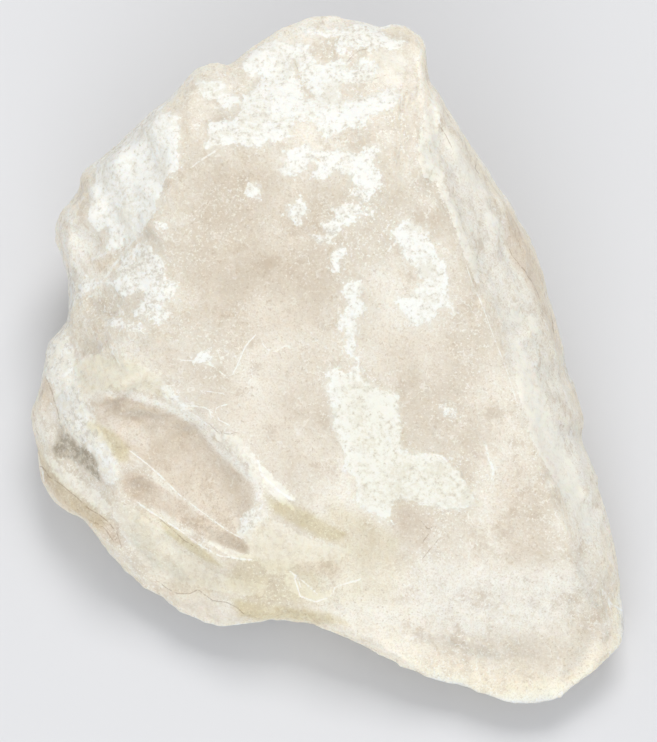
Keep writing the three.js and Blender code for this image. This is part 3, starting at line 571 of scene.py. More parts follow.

# %% [markdown]
# Soft stains are outlines too, with a strength and the width in mm over which they fade: a pink
# brown blush in the hollow, yellow along the lower edge, grey where the stone is clear, and paler
# bands where it is cloudy. Some pale patches are painted light instead: lifted shade on the wall of
# the hollow, a painted highlight in the hollow and one along the ridge over the face, and the pale
# band on the flank at the right, which is partly painted light.

# %% The stains
STAINS = {
    "blush": {
        "low right corner": (0.2, 2, [
            (14.4, -18.5), (19.4, -17.1), (19.4, -19.9), (15.1, -21.7), (12.2, -20.6),
        ]),
        "upper middle": (0.48, 3, [
            (-9.2, 14.4), (-5.6, 15.4), (0.1, 12.9), (1.2, 7.9), (0.1, 2.9), (-6.3, 1.5), (-9.9, 4.4),
            (-9.9, 9.4),
        ]),
        "brown under the lip": (0.5, 0.6, [
            (-2.3, -13.5), (-0.6, -13.6), (1.1, -14.2), (0.7, -14.9), (-0.9, -14.5), (-2, -14.2),
        ]),
        "beside the neck": (0.35, 1.2, [
            (-5.6, 1.5), (-0.6, 1.5), (0.1, -3.5), (0.1, -7.1), (-2.8, -7.1), (-4.2, -3.5),
        ]),
        "right of the neck": (0.3, 1.5, [
            (3, 5.1), (5.1, 2.9), (8, 2.2), (10.1, -2.1), (7.2, -4.9), (5.5, -4.2), (4, -0.6),
        ]),
        "hollow": (0.8, 0.4, [
            (-16.9, -2.4), (-15.9, -1.9), (-14.3, -1.9), (-12.8, -2.4), (-10.9, -3.1), (-9.3, -4.1),
            (-8.6, -4.9), (-8, -5.8), (-7, -6.6), (-6.2, -7.4), (-5.5, -8.1), (-5.2, -8.8),
            (-5.5, -9.8), (-6.2, -11.1), (-6.9, -11.5), (-8.8, -10.2), (-10.6, -8.9), (-12, -7.5),
            (-13.5, -6.2), (-14.9, -4.9), (-16.5, -3.4),
        ]),
        "upper left": (0.15, 1.5, [
            (-12.8, 18.6), (-9.9, 19.4), (-8.5, 15.1), (-10.6, 10.1), (-12, 9.4), (-12.8, 14.4),
        ]),
        "strip below": (1, 0.3, [
            (-14.8, -7.9), (-14.6, -7.4), (-14, -7.2), (-13.2, -7.5), (-11.3, -8.6), (-9.2, -10.2),
            (-8.5, -10.6), (-6.3, -11.9), (-5.7, -12.6), (-6, -13), (-7.2, -12.6), (-8.5, -12.1),
            (-10.6, -10.8), (-12, -9.9), (-13.5, -9.4), (-14.6, -8.8),
        ]),
        "warm zone": (0.5, 1.6, [
            (12.2, -6.4), (14.4, -6.7), (15.5, -9.2), (15.5, -13.5), (13, -13.6), (11.7, -10.6),
        ]),
        "tan rim": (0.8, 0.5, [
            (12.5, 11.8), (13.1, 11.6), (14, 10.5), (14.7, 9.1), (15.5, 7.1), (16.1, 4.9), (16.7, 2.6),
            (17, 1.1), (16.2, 1.5), (15.6, 3.5), (14.8, 5.3), (13.9, 6.7), (13, 7.8), (12.7, 9.5),
        ]),
        "brown on the rim": (0.9, 0.5, [
            (12.7, 11.6), (13.4, 11.1), (14, 9.6), (13.5, 8.9), (12.8, 9.4),
        ]),
        "left rim": (0.75, 0.5, [
            (-20.6, -6.4), (-19.5, -7.9), (-18, -9.1), (-16.5, -10.2), (-15, -10.9), (-14.8, -12.5),
            (-15.6, -12.1), (-17, -10.8), (-19.2, -9.5), (-20.3, -7.9),
        ]),
        "left rim brown": (0.8, 0.4, [
            (-18, -9.1), (-16.5, -10.2), (-15.2, -10.9), (-14.9, -12.4), (-15.6, -11.9),
            (-16.6, -10.6),
        ]),
        "flank wedge": (0.6, 0.3, [
            (-16.6, 7.8), (-14.9, 8.6), (-15.5, 7.6), (-16.5, 6.9),
        ]),
        "brown window": (0.8, 0.5, [
            (-20.3, -0.2), (-19.8, -0.6), (-19.6, -2.2), (-20.2, -2.6), (-20.6, -1.6),
        ]),
        "dim middle": (0.35, 2, [
            (-12, 1.5), (-7.8, -0.3), (-2, -3.5), (-0.6, -7.1), (-2.8, -7.8), (-5.6, -4.9),
            (-9.2, -2.1), (-11.7, -0.3),
        ]),
        "dim right": (0.3, 2.5, [
            (5.1, 2.9), (10.8, 2.2), (13, -3.5), (11.5, -7.1), (8, -4.9), (5.8, -2.1),
        ]),
        "peach lip": (0.2, 0.6, [
            (-12, -15.8), (-10.8, -16), (-9.3, -15.8), (-8.3, -16.4), (-6.9, -16.9), (-5.8, -17.7),
            (-6.3, -18.1), (-8, -18.1), (-9.5, -17.5), (-10.6, -16.9),
        ]),
        "by the squiggle": (0.55, 0.8, [
            (5.1, -9.8), (7.2, -10.1), (7.7, -11.4), (6.9, -12.6), (5.4, -12.1), (4.5, -10.8),
        ]),
    },
    "yellow": {
        "collar": (0.4, 0.6, [
            (-17.8, 0.4), (-16.3, 1.2), (-13.9, 0.7), (-11.9, -0.5), (-10.9, -2.2), (-13.5, -1.5),
            (-16.3, -1.4), (-17.6, -1.8),
        ]),
        "big patch": (0.45, 1.6, [
            (0.5, -0.1), (5, -1.6), (5.4, -5.6), (8.7, -6.6), (10.5, -9.4), (8, -9.9), (5.1, -9.2),
            (4.2, -10.6), (2.4, -10.1), (1.5, -7.1), (0.8, -3.5),
        ]),
        "bottom left slope": (0.35, 1.6, [
            (-14.9, -9.2), (-12.8, -9.9), (-9.9, -12.5), (-6.3, -13.5), (-2, -13.5), (0.1, -14.9),
            (-2, -17.2), (-6.3, -16.4), (-10.6, -15.6), (-13.5, -13.5),
        ]),
        "olive by the lip": (1.1, 0.7, [
            (-4.5, -8.9), (-2.8, -9.4), (-0.8, -10.4), (1.4, -11.6), (0.7, -12.3), (-0.9, -11.8),
            (-2.3, -11), (-3.9, -10.1),
        ]),
        "bottom edge": (1.1, 0.8, [
            (-6.9, -16.2), (-4.8, -16.5), (-2.3, -16.9), (0.1, -17.3), (1.4, -18.1), (-2, -17.9),
            (-4.8, -17.9), (-6.3, -17.6),
        ]),
        "low yellow": (0.4, 2, [
            (-5.2, -10.6), (-2, -12.4), (3, -12.4), (5.5, -13.5), (4.4, -16.4), (0.1, -17.1),
            (-3.5, -15.6), (-6.3, -13.5),
        ]),
        "under the big patch": (0.5, 1.2, [
            (0.1, -9.2), (3, -10.6), (5.1, -12.1), (4.4, -14.2), (1.5, -13.5), (-0.6, -11.4),
        ]),
        "low bank": (0.7, 1.2, [
            (-6.3, -13.1), (-2, -13.5), (0.1, -14.9), (-0.6, -16.7), (-4.9, -16.7), (-7.8, -15.3),
        ]),
        "left edge": (0.6, 0.8, [
            (-21, -5.1), (-19.2, -7.8), (-15.6, -10.6), (-16.3, -11.4), (-19.2, -9.2), (-20.6, -7.1),
        ]),
        "beside the hollow": (0.9, 0.4, [
            (-17.5, -3.5), (-16.3, -3.8), (-15, -4.6), (-14.2, -5.6), (-14.3, -6.5), (-15, -6.5),
            (-15.9, -5.2), (-16.9, -4.4),
        ]),
        "olive band": (1.1, 0.35, [
            (-12.2, -10.4), (-10.9, -11.3), (-8.8, -12.8), (-7.6, -13.9), (-8.8, -13.6),
            (-10.3, -12.6), (-11.6, -11.6),
        ]),
    },
    "shade": {
        "end of the strip": (0.3, 0.35, [
            (-8.8, -11.1), (-7.2, -11.6), (-5.8, -12.5), (-5.8, -13), (-6.9, -12.8), (-8.5, -12.1),
        ]),
        "dark window": (0.9, 0.3, [
            (-19.1, -3.8), (-18.8, -4.4), (-18.2, -4.7), (-18, -5.4), (-17.5, -5.4), (-16.9, -5.8),
            (-16.4, -6.6), (-16.3, -7.9), (-17, -7.3), (-17.8, -6.6), (-18.6, -6.2), (-19.4, -6.1),
            (-19.7, -5.5), (-19.4, -4.6),
        ]),
        "grey fan": (0.14, 2.5, [
            (6.5, -14.2), (12.2, -14.6), (18.7, -13.5), (19.4, -17.8), (16.5, -21.4), (12.2, -21.4),
            (7.2, -18.5),
        ]),
    },
    # Pale patches: some are the stone's cloudy colour, and some are painted light, as marked below.
    "pale": {
        "left knob": (0.9, 0.8, [
            (-19.9, 10.4), (-18.5, 11.9), (-16.9, 9), (-17.6, 6.5), (-18.8, 5.6), (-19.5, 8.3),
        ]),
        "top rim": (0.7, 0.5, [
            (-2.3, 24.8), (0.1, 25.4), (3.4, 24.9), (4, 24.2), (0.8, 24.4), (-2, 23.9),
        ]),
        "lower middle": (0.5, 1, [
            (-2, -14.6), (1.5, -14.2), (3.7, -16.4), (1.5, -17.8), (-1.3, -17.2),
        ]),
        "low right bank": (0.8, 2, [
            (6.5, -13.5), (13.7, -14.2), (18.7, -13.5), (18.7, -16.4), (15.1, -18.5), (9.4, -19.2),
            (6.5, -17.8),
        ]),
        # Painted light: lifts the shade on the hollow's wall.
        "painted light on the hollow wall": (0.9, 0.35, [
            (-16.9, -1.4), (-14.3, -1.3), (-11.3, -2.4), (-8.9, -3.5), (-8.2, -4.9), (-6.6, -6.2),
            (-5, -7.5), (-4.6, -9.2), (-5.5, -9.2), (-5.6, -7.9), (-7.2, -6.6), (-8.6, -5.4),
            (-9.5, -3.9), (-12, -2.6), (-14.9, -1.8),
        ]),
        # Partly the flank's pale cloud and partly painted light from its slope.
        "right flank, partly painted light": (0.75, 1.6, [
            (6.9, 18.5), (8.3, 18.6), (11.2, 12.6), (13, 9), (15.1, 4.4), (16.5, -0.6), (18.7, -4.9),
            (19.8, -10.6), (18.7, -13.5), (16.5, -7.8), (14.4, -3.5), (12.7, 2.2), (10.8, 6.5),
            (8.7, 12.2),
        ]),
        # Painted highlight: the lit lower side of the hollow.
        "painted highlight in the hollow": (1, 0.6, [
            (-16.6, -2.6), (-15.5, -3.1), (-13.5, -3.8), (-12.6, -4.8), (-12.9, -5.6), (-14.3, -5.2),
            (-15.8, -4.1),
        ]),
        # Painted highlight along the ridge over the wide face.
        "painted highlight on the ridge": (0.15, 1.8, [
            (-11.3, 1.9), (-9.2, 3.6), (-3.5, 7.1), (0.1, 9.7), (0.5, 8.6), (-2.8, 5.8), (-8.1, 2.6),
            (-10.6, 0.8),
        ]),
        "left glass": (0.6, 0.6, [
            (-21, -2.8), (-20.2, -3.1), (-19.5, -3.8), (-19.8, -5.2), (-20.8, -4.9),
        ]),
    },
}
print("stains:", {kind: len(spots) for kind, spots in STAINS.items()})

# %% [markdown]
# ## Distances to outlines and lines
#
# For a closed outline, the distance is that to the nearest side, counted as positive inside and
# negative outside. Only corners near an outline are measured, the rest get a distance far outside.

# %% Measure the distances
FAR = 3.0
BETWEEN_PATCHES = 0.6


def to_sides(spots, outline, closed):
    """Distance from spots to the nearest side of an outline, and whether they lie to its left."""
    starts = np.array(outline, float)
    ends = np.roll(starts, -1, axis=0)
    if not closed:
        starts, ends = starts[:-1], ends[:-1]
    best = np.full(len(spots), np.inf)
    left = np.zeros(len(spots), bool)
    for start, end in zip(starts, ends):
        run = end - start
        share = np.clip((spots - start) @ run / (run @ run), 0, 1)
        gap = spots - start - share[:, None] * run
        away = np.hypot(gap[:, 0], gap[:, 1])
        nearer = away < best
        best[nearer] = away[nearer]
        side = run[0] * (spots[:, 1] - start[1]) - run[1] * (spots[:, 0] - start[0])
        left[nearer] = side[nearer] > 0
    return best, left


def inside(spots, outline):
    """Whether each spot lies inside a closed outline, by counting the sides it sees to its right."""
    odd = np.zeros(len(spots), bool)
    for (ax, ay), (bx, by) in zip(outline, outline[1:] + outline[:1]):
        spans = (spots[:, 1] < ay) != (spots[:, 1] < by)
        if ay != by:
            odd ^= spans & (spots[:, 0] < ax + (spots[:, 1] - ay) * (bx - ax) / (by - ay))
    return odd


def near(spots, outline, reach):
    """Which spots lie within reach of an outline's own box."""
    corners = np.array(outline)
    return ((spots > corners.min(0) - reach) & (spots < corners.max(0) + reach)).all(axis=1)


def depth_in(spots, outline):
    """How far inside an outline each spot lies, in mm, negative outside."""
    depth = np.full(len(spots), -FAR)
    close = near(spots, outline, FAR)
    away, _ = to_sides(spots[close], outline, closed=True)
    depth[close] = np.where(inside(spots[close], outline), away, -np.minimum(away, FAR))
    return depth


def nearest_patch(spots, patches):
    """How deep each spot lies in the nearest patch, and how solid that patch is."""
    deepest = np.full(len(spots), -FAR)
    share_there = np.full(len(spots), BETWEEN_PATCHES)
    for share, outline in patches.values():
        depth = depth_in(spots, outline)
        share_there[depth > deepest] = share
        deepest = np.maximum(deepest, depth)
    return deepest, share_there


seen = as_seen(points)
crust, solid = nearest_patch(seen, CRUST)
veil, veil_solid = nearest_patch(seen, VEILS)
for outline in BARE_SPOTS.values():
    crust = np.minimum(crust, -depth_in(seen, outline))
print("corners under crust", int((crust > 0).sum()))

# %% [markdown]
# For a line, the sign says on which side of it a corner lies, so that the value passes through
# nought exactly on the line, even where the mesh is coarse. A stain needs only an amount from 0 to
# 1, which rises smoothly over its own width of fading.

# %% Measure the lines and the stains
LINE_REACH = 1.0
NO_LINE_WIDTH = 0.1


def nearest_run(spots, runs):
    """Distance to the nearest run, negative on its right-hand side, and half that run's width."""
    side = np.full(len(spots), FAR)
    half_there = np.full(len(spots), NO_LINE_WIDTH)
    for half_width, run in runs.values():
        close = near(spots, run, LINE_REACH)
        away, left = to_sides(spots[close], run, closed=False)
        better = away < np.abs(side[close])
        spot = np.flatnonzero(close)[better]
        side[spot] = np.where(left, away, -away)[better]
        half_there[spot] = half_width
    return side, half_there


line_side, line_width = nearest_run(seen, LINES)
crack_side, crack_width = nearest_run(seen, CRACKS)

stains = {}
for kind, spots in STAINS.items():
    stains[kind] = np.zeros(len(points))
    for strength, fade, outline in spots.values():
        amount = np.clip(depth_in(seen, outline) / fade + 0.5, 0, 1)
        stains[kind] = np.maximum(stains[kind], strength * amount * amount * (3 - 2 * amount))
near_line = np.abs(line_side) < LINE_REACH
print("corners near a bright line", int(near_line.sum()))

# %% [markdown]
# ## The sides that the picture does not show
#
# An outline as seen would run straight through the stone and mark the far side too. So the marks
# count only where the skin faces the viewer. On the hidden sides the crust comes from noise in
# space, which has no seam.

# %% Hide the marks from the far side
HIDDEN_CRUST_SIZE = 9.0
HIDDEN_CRUST_SHARE = 0.12
HIDDEN_CRUST_EDGE = 4
HIDDEN_CRUST_DEEPEST = 1.5
HIDDEN_SOLID = 0.55
LINES_SHOW_FROM = 0.3
MARKS_SHOW_FROM = 0.1

normals = corner_normals(points, faces)
towards = normals @ OUT
facing = rising(towards, 0.05, 0.3)
cloud = np.array([noise.fractal(Vector(p / HIDDEN_CRUST_SIZE), 0.8, 2.0, 4) for p in points])
hidden = np.clip((cloud - HIDDEN_CRUST_SHARE) * HIDDEN_CRUST_EDGE, -FAR, HIDDEN_CRUST_DEEPEST)
crust = hidden + (crust - hidden) * facing
solid = HIDDEN_SOLID + (solid - HIDDEN_SOLID) * facing
line_side = np.where(facing > LINES_SHOW_FROM, line_side, FAR)
crack_side = np.where(facing > MARKS_SHOW_FROM, crack_side, FAR)
veil = np.where(facing > MARKS_SHOW_FROM, veil, -FAR)
stains = {kind: amount * facing for kind, amount in stains.items()}
print("corners that face the viewer:", int((facing > 0.5).sum()), "of", len(points))

# %% [markdown]
# Thin edges let light through and look warm. So every corner gets a share of rim: more where the
# stone is thin, which a ray that runs straight in measures, and more where the skin turns away
# from the wide face. The rim share sets how deep light goes under the surface, and it also lays a
# warm glow painted into the colour, in place of light shining through. The same turning tells
# which skin is broken flank.

# %% Measure the thickness
THIN = 0.6
THICK = 3.6
RAY_START = 0.05
THIN_SHARE = 0.5
TURNED_SHARE = 0.8

tree = BVHTree.FromPolygons(points.tolist(), faces.tolist())
thick = np.zeros(len(points))
for i, (place, direction) in enumerate(zip(points, normals)):
    hit = tree.ray_cast(Vector(place - RAY_START * direction), Vector(-direction))
    thick[i] = hit[3] if hit[3] is not None else 0
thin = 1 - rising(thick, THIN, THICK - THIN)
turned = 1 - rising(towards, 0.15, 0.6)
# The rim share also says where a warm glow is painted into the colour, in place of light through the
# edges.
rim = np.clip(THIN_SHARE * thin + TURNED_SHARE * turned, 0, 1)
broken = 1 - rising(towards, 0.6, 0.35)
print("thickness, mm: middle value", round(float(np.median(thick)), 1))

# %% [markdown]
# ## The quartz mesh
#
# A material can't see these arrays, so each is kept on the mesh as an attribute, with one number a
# corner and a name that the material reads. The piece stands at the origin, unturned, with its
# place in its mesh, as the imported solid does.

# %% Make the quartz mesh and keep what was measured on it
def make_mesh(name, points, faces):
    """A smooth-shaded mesh from corners in mm."""
    mesh = bpy.data.meshes.new(name)
    mesh.from_pydata((points * MM).tolist(), [], faces.tolist())
    mesh.shade_smooth()
    return mesh


def keep_on(mesh, name, values):
    """Stores one number for each corner of the mesh under a name the material can read."""
    mesh.attributes.new(name, "FLOAT", "POINT").data.foreach_set("value", values.astype(np.float32))


mesh = make_mesh("quartz", points, faces)
measured = {
    "crust": crust, "solid": solid, "veil": veil, "veil_solid": veil_solid, "rim": rim,
    "broken": broken, "line_side": line_side, "line_gap": np.abs(line_side),
    "line_width": line_width, "crack_side": crack_side, "crack_gap": np.abs(crack_side),
    "crack_width": crack_width, **stains}
for name, values in measured.items():
    keep_on(mesh, name, values)
quartz = bpy.data.objects.new("milky_quartz_lump", mesh)
bpy.context.collection.objects.link(quartz)
print("kept on the mesh:", ", ".join(measured))

# %% [markdown]
# ## The material
#
# Milky quartz is clear quartz full of tiny bubbles. Light goes in, scatters and comes out warm, so
# the base is a principled shader with light under the surface, more of it where the stone is thin.
# A clear shader would show the table through the stone, which a milky one doesn't. The colour is
# built in layers, each laid over the one before, and these helpers let each layer be a line.

# %% Helpers that make and join shader nodes
def linear(*srgb):
    """A colour given as 0 to 255 screen values, as the linear colour that a shader takes."""
    return tuple(((c / 255 + 0.055) / 1.055) ** 2.4 for c in srgb) + (1.0,)


class Layers:
    """Builds a material's nodes one after another, joining each to what came before."""

    def __init__(self, tree):
        self.tree = tree

    def put(self, socket, value):
        """Joins a socket to another node's output, or sets it to a number or colour."""
        if isinstance(value, bpy.types.NodeSocket):
            self.tree.links.new(value, socket)
        else:
            socket.default_value = value

    def node(self, kind, inputs=(), **settings):
        """A new node with its settings, and its inputs by place or by name."""
        made = self.tree.nodes.new(kind)
        for name, value in settings.items():
            setattr(made, name, value)
        for key, value in dict(inputs).items():
            self.put(made.inputs[key], value)
        return made

    def maths(self, operation, a, b=0.0, c=0.0, clamp=False):
        inputs = {0: a, 1: b, 2: c}
        return self.node("ShaderNodeMath", inputs, operation=operation, use_clamp=clamp).outputs[0]

    def times(self, *values, clamp=False):
        """Values multiplied together, the last product held from 0 to 1 where clamp says so."""
        product = values[0]
        for place, value in enumerate(values[1:], 2):
            last = place == len(values)
            product = self.maths("MULTIPLY", product, value, clamp=clamp and last)
        return product

    def ramp(self, value, low, high):
        """0 below low, 1 above high, and a smooth rise between."""
        inputs = {"Value": value, "From Min": low, "From Max": high}
        return self.node("ShaderNodeMapRange", inputs, interpolation_type="SMOOTHSTEP").outputs[0]

    def between(self, value, low, high):
        """A value from 0 to 1 stretched to run from low to high."""
        inputs = {"Value": value, "To Min": low, "To Max": high}
        return self.node("ShaderNodeMapRange", inputs).outputs[0]

    def swing(self, value, reach):
        """A value from 0 to 1 made to swing evenly about nought, over reach in all."""
        return self.maths("MULTIPLY_ADD", value, reach, -reach / 2)

    def measured(self, name):
        return self.node("ShaderNodeAttribute", attribute_name=name).outputs["Fac"]

    def noise(self, where, size, detail, rough=0.55, twist=0.0):
        """Noise whose lumps are about size mm across, from 0 to 1."""
        inputs = {"Vector": where, "Scale": 1 / size, "Detail": detail, "Roughness": rough,
                  "Distortion": twist}
        return self.node("ShaderNodeTexNoise", inputs).outputs[0]

    def lay(self, under, over, amount, blend="MIX"):
        """One colour laid over another, or multiplied by it, as strongly as amount says."""
        made = self.node("ShaderNodeMix", data_type="RGBA", blend_type=blend)
        self.put(made.inputs["Factor"], amount)
        self.put(made.inputs[6], under)
        self.put(made.inputs[7], over)
        return made.outputs[2]


print("a warm white in linear light:", [round(c, 3) for c in linear(227, 218, 204)])

# %% [markdown]
# ## Colours and patterns
#
# The colours are given as they look on a screen. The stains are tints instead, which multiply what
# lies under them. The patterns are noise in the stone's own space, so they have no seam and go on
# round the back. Each has the size of its lumps in mm, how many finer rounds it has, how strong
# those are and, for two of them, how far it is twisted. Streaks are the same noise drawn out.

# %% The colours and the patterns
BEIGE = linear(219, 211, 196)
DEEP_BEIGE = linear(208, 196, 178)
PALE_BEIGE = linear(236, 231, 219)
CLOUD_WHITE = linear(241, 239, 231)
VEIL_CREAM = linear(241, 238, 227)
# A painted glow: the warm light of thin edges, laid on as colour.
PAINTED_EDGE_GLOW = linear(255, 247, 224)
CRUST_WHITE = linear(243, 243, 238)
CRUST_CREAM = linear(230, 227, 216)
CRUST_PIT = linear(210, 204, 192)
FLECK_BROWN = linear(192, 176, 154)
CRACK_BROWN = linear(150, 122, 92)
YELLOW_TINT = (0.87, 0.83, 0.68, 1.0)
BLUSH_TINT = (0.87, 0.805, 0.745, 1.0)
SMOKE_TINT = (0.58, 0.55, 0.5, 1.0)
PATTERNS = {
    "clouds": (7, 2), "wisps": (1.9, 5, 0.66, 0.4), "stir": (1.1, 4, 0.65),
    "speckles": (2.4, 6, 0.8), "drifts": (4, 2), "pale dust": (0.2, 2, 0.75),
    "brown dust": (0.24, 2, 0.75), "clay": (0.14, 1, 0.8), "chips": (0.5, 3, 0.7),
    "threads": (2.6, 4, 0.62, 0.3), "short": (1.3, 3, 0.65), "grit": (0.45, 3, 0.75),
    "wobble": (0.35, 3), "holes": (0.55, 4, 0.7), "fray": (0.9, 2, 0.5),
    "spatter": (0.3, 3, 0.62), "curds": (0.36, 3, 0.75), "skin": (1.1, 5, 0.74),
    "glaze": (1.8, 3),
}
STREAKS = (0.45, 4, 0.68)
STREAK_LENGTH = 5
FLANK_TURN = math.radians(-67)


def stone_patterns(lay):
    """Every pattern as a value from 0 to 1, the streaks drawn out along the broken flanks."""
    coordinates = lay.node("ShaderNodeTexCoord").outputs["Object"]
    in_mm = {0: coordinates, "Scale": 1 / MM}
    where = lay.node("ShaderNodeVectorMath", in_mm, operation="SCALE").outputs[0]
    turned = {"Vector": where, "Rotation": (0, 0, FLANK_TURN), "Scale": (STREAK_LENGTH, 1, 1)}
    drawn = lay.node("ShaderNodeMapping", turned, vector_type="TEXTURE").outputs[0]
    pattern = {name: lay.noise(where, *sizes) for name, sizes in PATTERNS.items()}
    pattern["streaks"] = lay.noise(drawn, *STREAKS)
    return pattern


print(len(PATTERNS) + 1, "patterns, the finest", min(size for size, *_ in PATTERNS.values()), "mm")

# %% [markdown]
# ## The ground: clouds, a painted edge glow, flecks and dust
#
# Most of the stone's colour is many thin layers of one kind: a colour laid on where a pattern
# passes from one value to another. So they are rows of two tables, from the bottom up. Between the
# two, a warm glow is painted on the thin and turned-away edges, and the pale stains are laid, some
# of which are painted light. Streaks belong to the broken flanks, and pale dust lies in drifts.
# Last come fine white threads, which run where a pattern passes through its middle value.

# %% The ground layers
# Each row: the colour, its pattern, where it is nought, where it is full, its strength, its place
CLOUDS = [
    (PALE_BEIGE, "clouds", 0.38, 0.7, 1.0, "all over"),
    (CLOUD_WHITE, "wisps", 0.5, 0.7, 0.28, "all over"),
]
FLECKS = [
    (FLECK_BROWN, "streaks", 0.46, 0.34, 0.55, "flanks"),
    (CLOUD_WHITE, "streaks", 0.54, 0.64, 0.8, "flanks"),
    (DEEP_BEIGE, "speckles", 0.5, 0.34, 0.75, "all over"),
    (CLOUD_WHITE, "speckles", 0.53, 0.68, 0.48, "all over"),
    (CLOUD_WHITE, "pale dust", 0.53, 0.66, 1.0, "dusty"),
    (FLECK_BROWN, "brown dust", 0.42, 0.3, 0.5, "all over"),
    (DEEP_BEIGE, "clay", 0.55, 0.35, 0.35, "all over"),
    (CRUST_CREAM, "chips", 0.63, 0.68, 0.75, "in drifts"),
]
# How strongly the painted edge glow is laid on.
PAINTED_GLOW_STRENGTH = 0.85
THREAD_EDGE = (0.018, 0.005)
THREAD_STRENGTH = 0.6


def lay_rows(lay, colour, rows, pattern, places):
    for over, name, nought, full, strength, place in rows:
        share = lay.ramp(pattern[name], nought, full)
        colour = lay.lay(colour, over, lay.times(share, places[place], strength))
    return colour


def ground_colour(lay, pattern, stir):
    """The stone's colour before any mark, with a painted warm glow on its edges and the pale stains,
    some of them painted light.
    """
    drifts = pattern["drifts"]
    places = {"all over": 1.0, "flanks": lay.measured("broken"),
              "dusty": lay.between(lay.ramp(drifts, 0.42, 0.62), 0.45, 1.0),
              "in drifts": lay.ramp(drifts, 0.46, 0.54)}
    colour = lay_rows(lay, BEIGE, CLOUDS, pattern, places)
    # Painted glow: the warm edge colour laid on by the rim share.
    colour = lay.lay(colour, PAINTED_EDGE_GLOW, lay.times(lay.measured("rim"), PAINTED_GLOW_STRENGTH))
    # Pale stains: cloudy colour, and in places painted light and highlights.
    colour = lay.lay(colour, CLOUD_WHITE, lay.times(lay.measured("pale"), stir, clamp=True))
    colour = lay_rows(lay, colour, FLECKS, pattern, places)
    off_middle = lay.maths("ABSOLUTE", lay.maths("SUBTRACT", pattern["threads"], 0.5))
    thread = lay.ramp(off_middle, *THREAD_EDGE)
    short = lay.ramp(pattern["short"], 0.53, 0.6)
    return lay.lay(colour, CLOUD_WHITE, lay.times(thread, short, THREAD_STRENGTH))


print(len(CLOUDS) + len(FLECKS), "layers of clouds and flecks")

# %% [markdown]
# ## Veils, stains, lines and cracks
#
# A veil's edge is its distance plus grit, so that it frays. The stains are uneven, and the smoky
# one, where the stone is clear and shows the dark inside it, is grittier than the rest. A line is
# drawn where the distance to it, as a share of its half width, is under 1. The plain distance to
# the line then cuts off what lies past its ends, where the side changes and the sharp distance
# passes through nought again.

# %% The marks
VEIL_FRAY = 0.8
LINE_WOBBLE = 2.2
INKS = {"line": (CRUST_WHITE, 0.75), "crack": (CRACK_BROWN, 0.5)}


def veiled(lay, colour, grit):
    inside = lay.maths("ADD", lay.measured("veil"), lay.swing(grit, VEIL_FRAY))
    freckles = lay.between(lay.ramp(grit, 0.36, 0.6), 0.35, 1.2)
    share = lay.times(lay.measured("veil_solid"), freckles)
    return lay.lay(colour, VEIL_CREAM, lay.times(lay.ramp(inside, -0.03, 0.06), share, clamp=True))


def stained(lay, colour, grit, stir):
    gritty = lay.times(stir, lay.between(lay.ramp(grit, 0.4, 0.6), 0.5, 1.25))
    tints = {"yellow": (YELLOW_TINT, stir), "blush": (BLUSH_TINT, stir),
             "shade": (SMOKE_TINT, gritty)}
    for name, (tint, uneven) in tints.items():
        amount = lay.times(lay.measured(name), uneven, clamp=True)
        colour = lay.lay(colour, tint, amount, "MULTIPLY")
    return colour


def lined(lay, colour, grit, wobble):
    for name, (ink, strength) in INKS.items():
        off = lay.maths("ABSOLUTE", lay.measured(name + "_side"))
        share = lay.maths("DIVIDE", off, lay.measured(name + "_width"))
        edge = lay.ramp(lay.maths("ADD", share, lay.swing(wobble, LINE_WOBBLE)), 1.1, 0.3)
        within = lay.ramp(lay.measured(name + "_gap"), 0.3, 0.18)
        patchy = lay.times(within, lay.ramp(grit, 0.38, 0.5))
        colour = lay.lay(colour, ink, lay.times(edge, patchy, strength))
    return colour


print("inks for", ", ".join(INKS))

# %% [markdown]
# ## The crust
#
# The crust is a dry, curdled film. Round each patch lies a thin haze. The patch's own edge is
# frayed by coarse and fine noise together, it has holes where it is less solid, and loose drops
# lie outside it. Inside, curds of white sit over cream, with darker pits between them.

# %% The crust's colour and cover
HAZE_STRENGTH = 0.75
CRUST_STRENGTH = 0.9
CRUST_FRAY = 0.9
CRUST_YELLOWING = 0.6


def crust_cover(lay, pattern, crust, solid):
    """How much of the stone the crust hides: 0 where bare, 1 where covered."""
    fray = lay.maths("ADD", lay.swing(pattern["fray"], CRUST_FRAY),
                     lay.swing(pattern["spatter"], CRUST_FRAY))
    inside = lay.ramp(lay.maths("ADD", crust, fray), -0.03, 0.07)
    bare_below = lay.maths("MULTIPLY_ADD", solid, -0.42, 0.69)
    filled = lay.ramp(lay.maths("SUBTRACT", pattern["holes"], bare_below), -0.08, 0.06)
    drops = lay.times(lay.ramp(pattern["spatter"], 0.61, 0.65), lay.ramp(crust, -0.8, -0.2))
    return lay.maths("MAXIMUM", lay.times(inside, filled), drops)


def crust_colour(lay, pattern, solid):
    curds = pattern["curds"]
    deeper = lay.maths("MULTIPLY_ADD", solid, 0.35, -0.32)
    colour = lay.lay(CRUST_PIT, CRUST_CREAM, lay.ramp(lay.maths("ADD", curds, deeper), 0.3, 0.46))
    white = lay.maths("ADD", curds, lay.times(pattern["wisps"], 0.9))
    colour = lay.lay(colour, CRUST_WHITE, lay.ramp(white, 0.8, 1.08))
    yellowed = lay.times(lay.measured("yellow"), CRUST_YELLOWING)
    return lay.lay(colour, YELLOW_TINT, yellowed, "MULTIPLY")


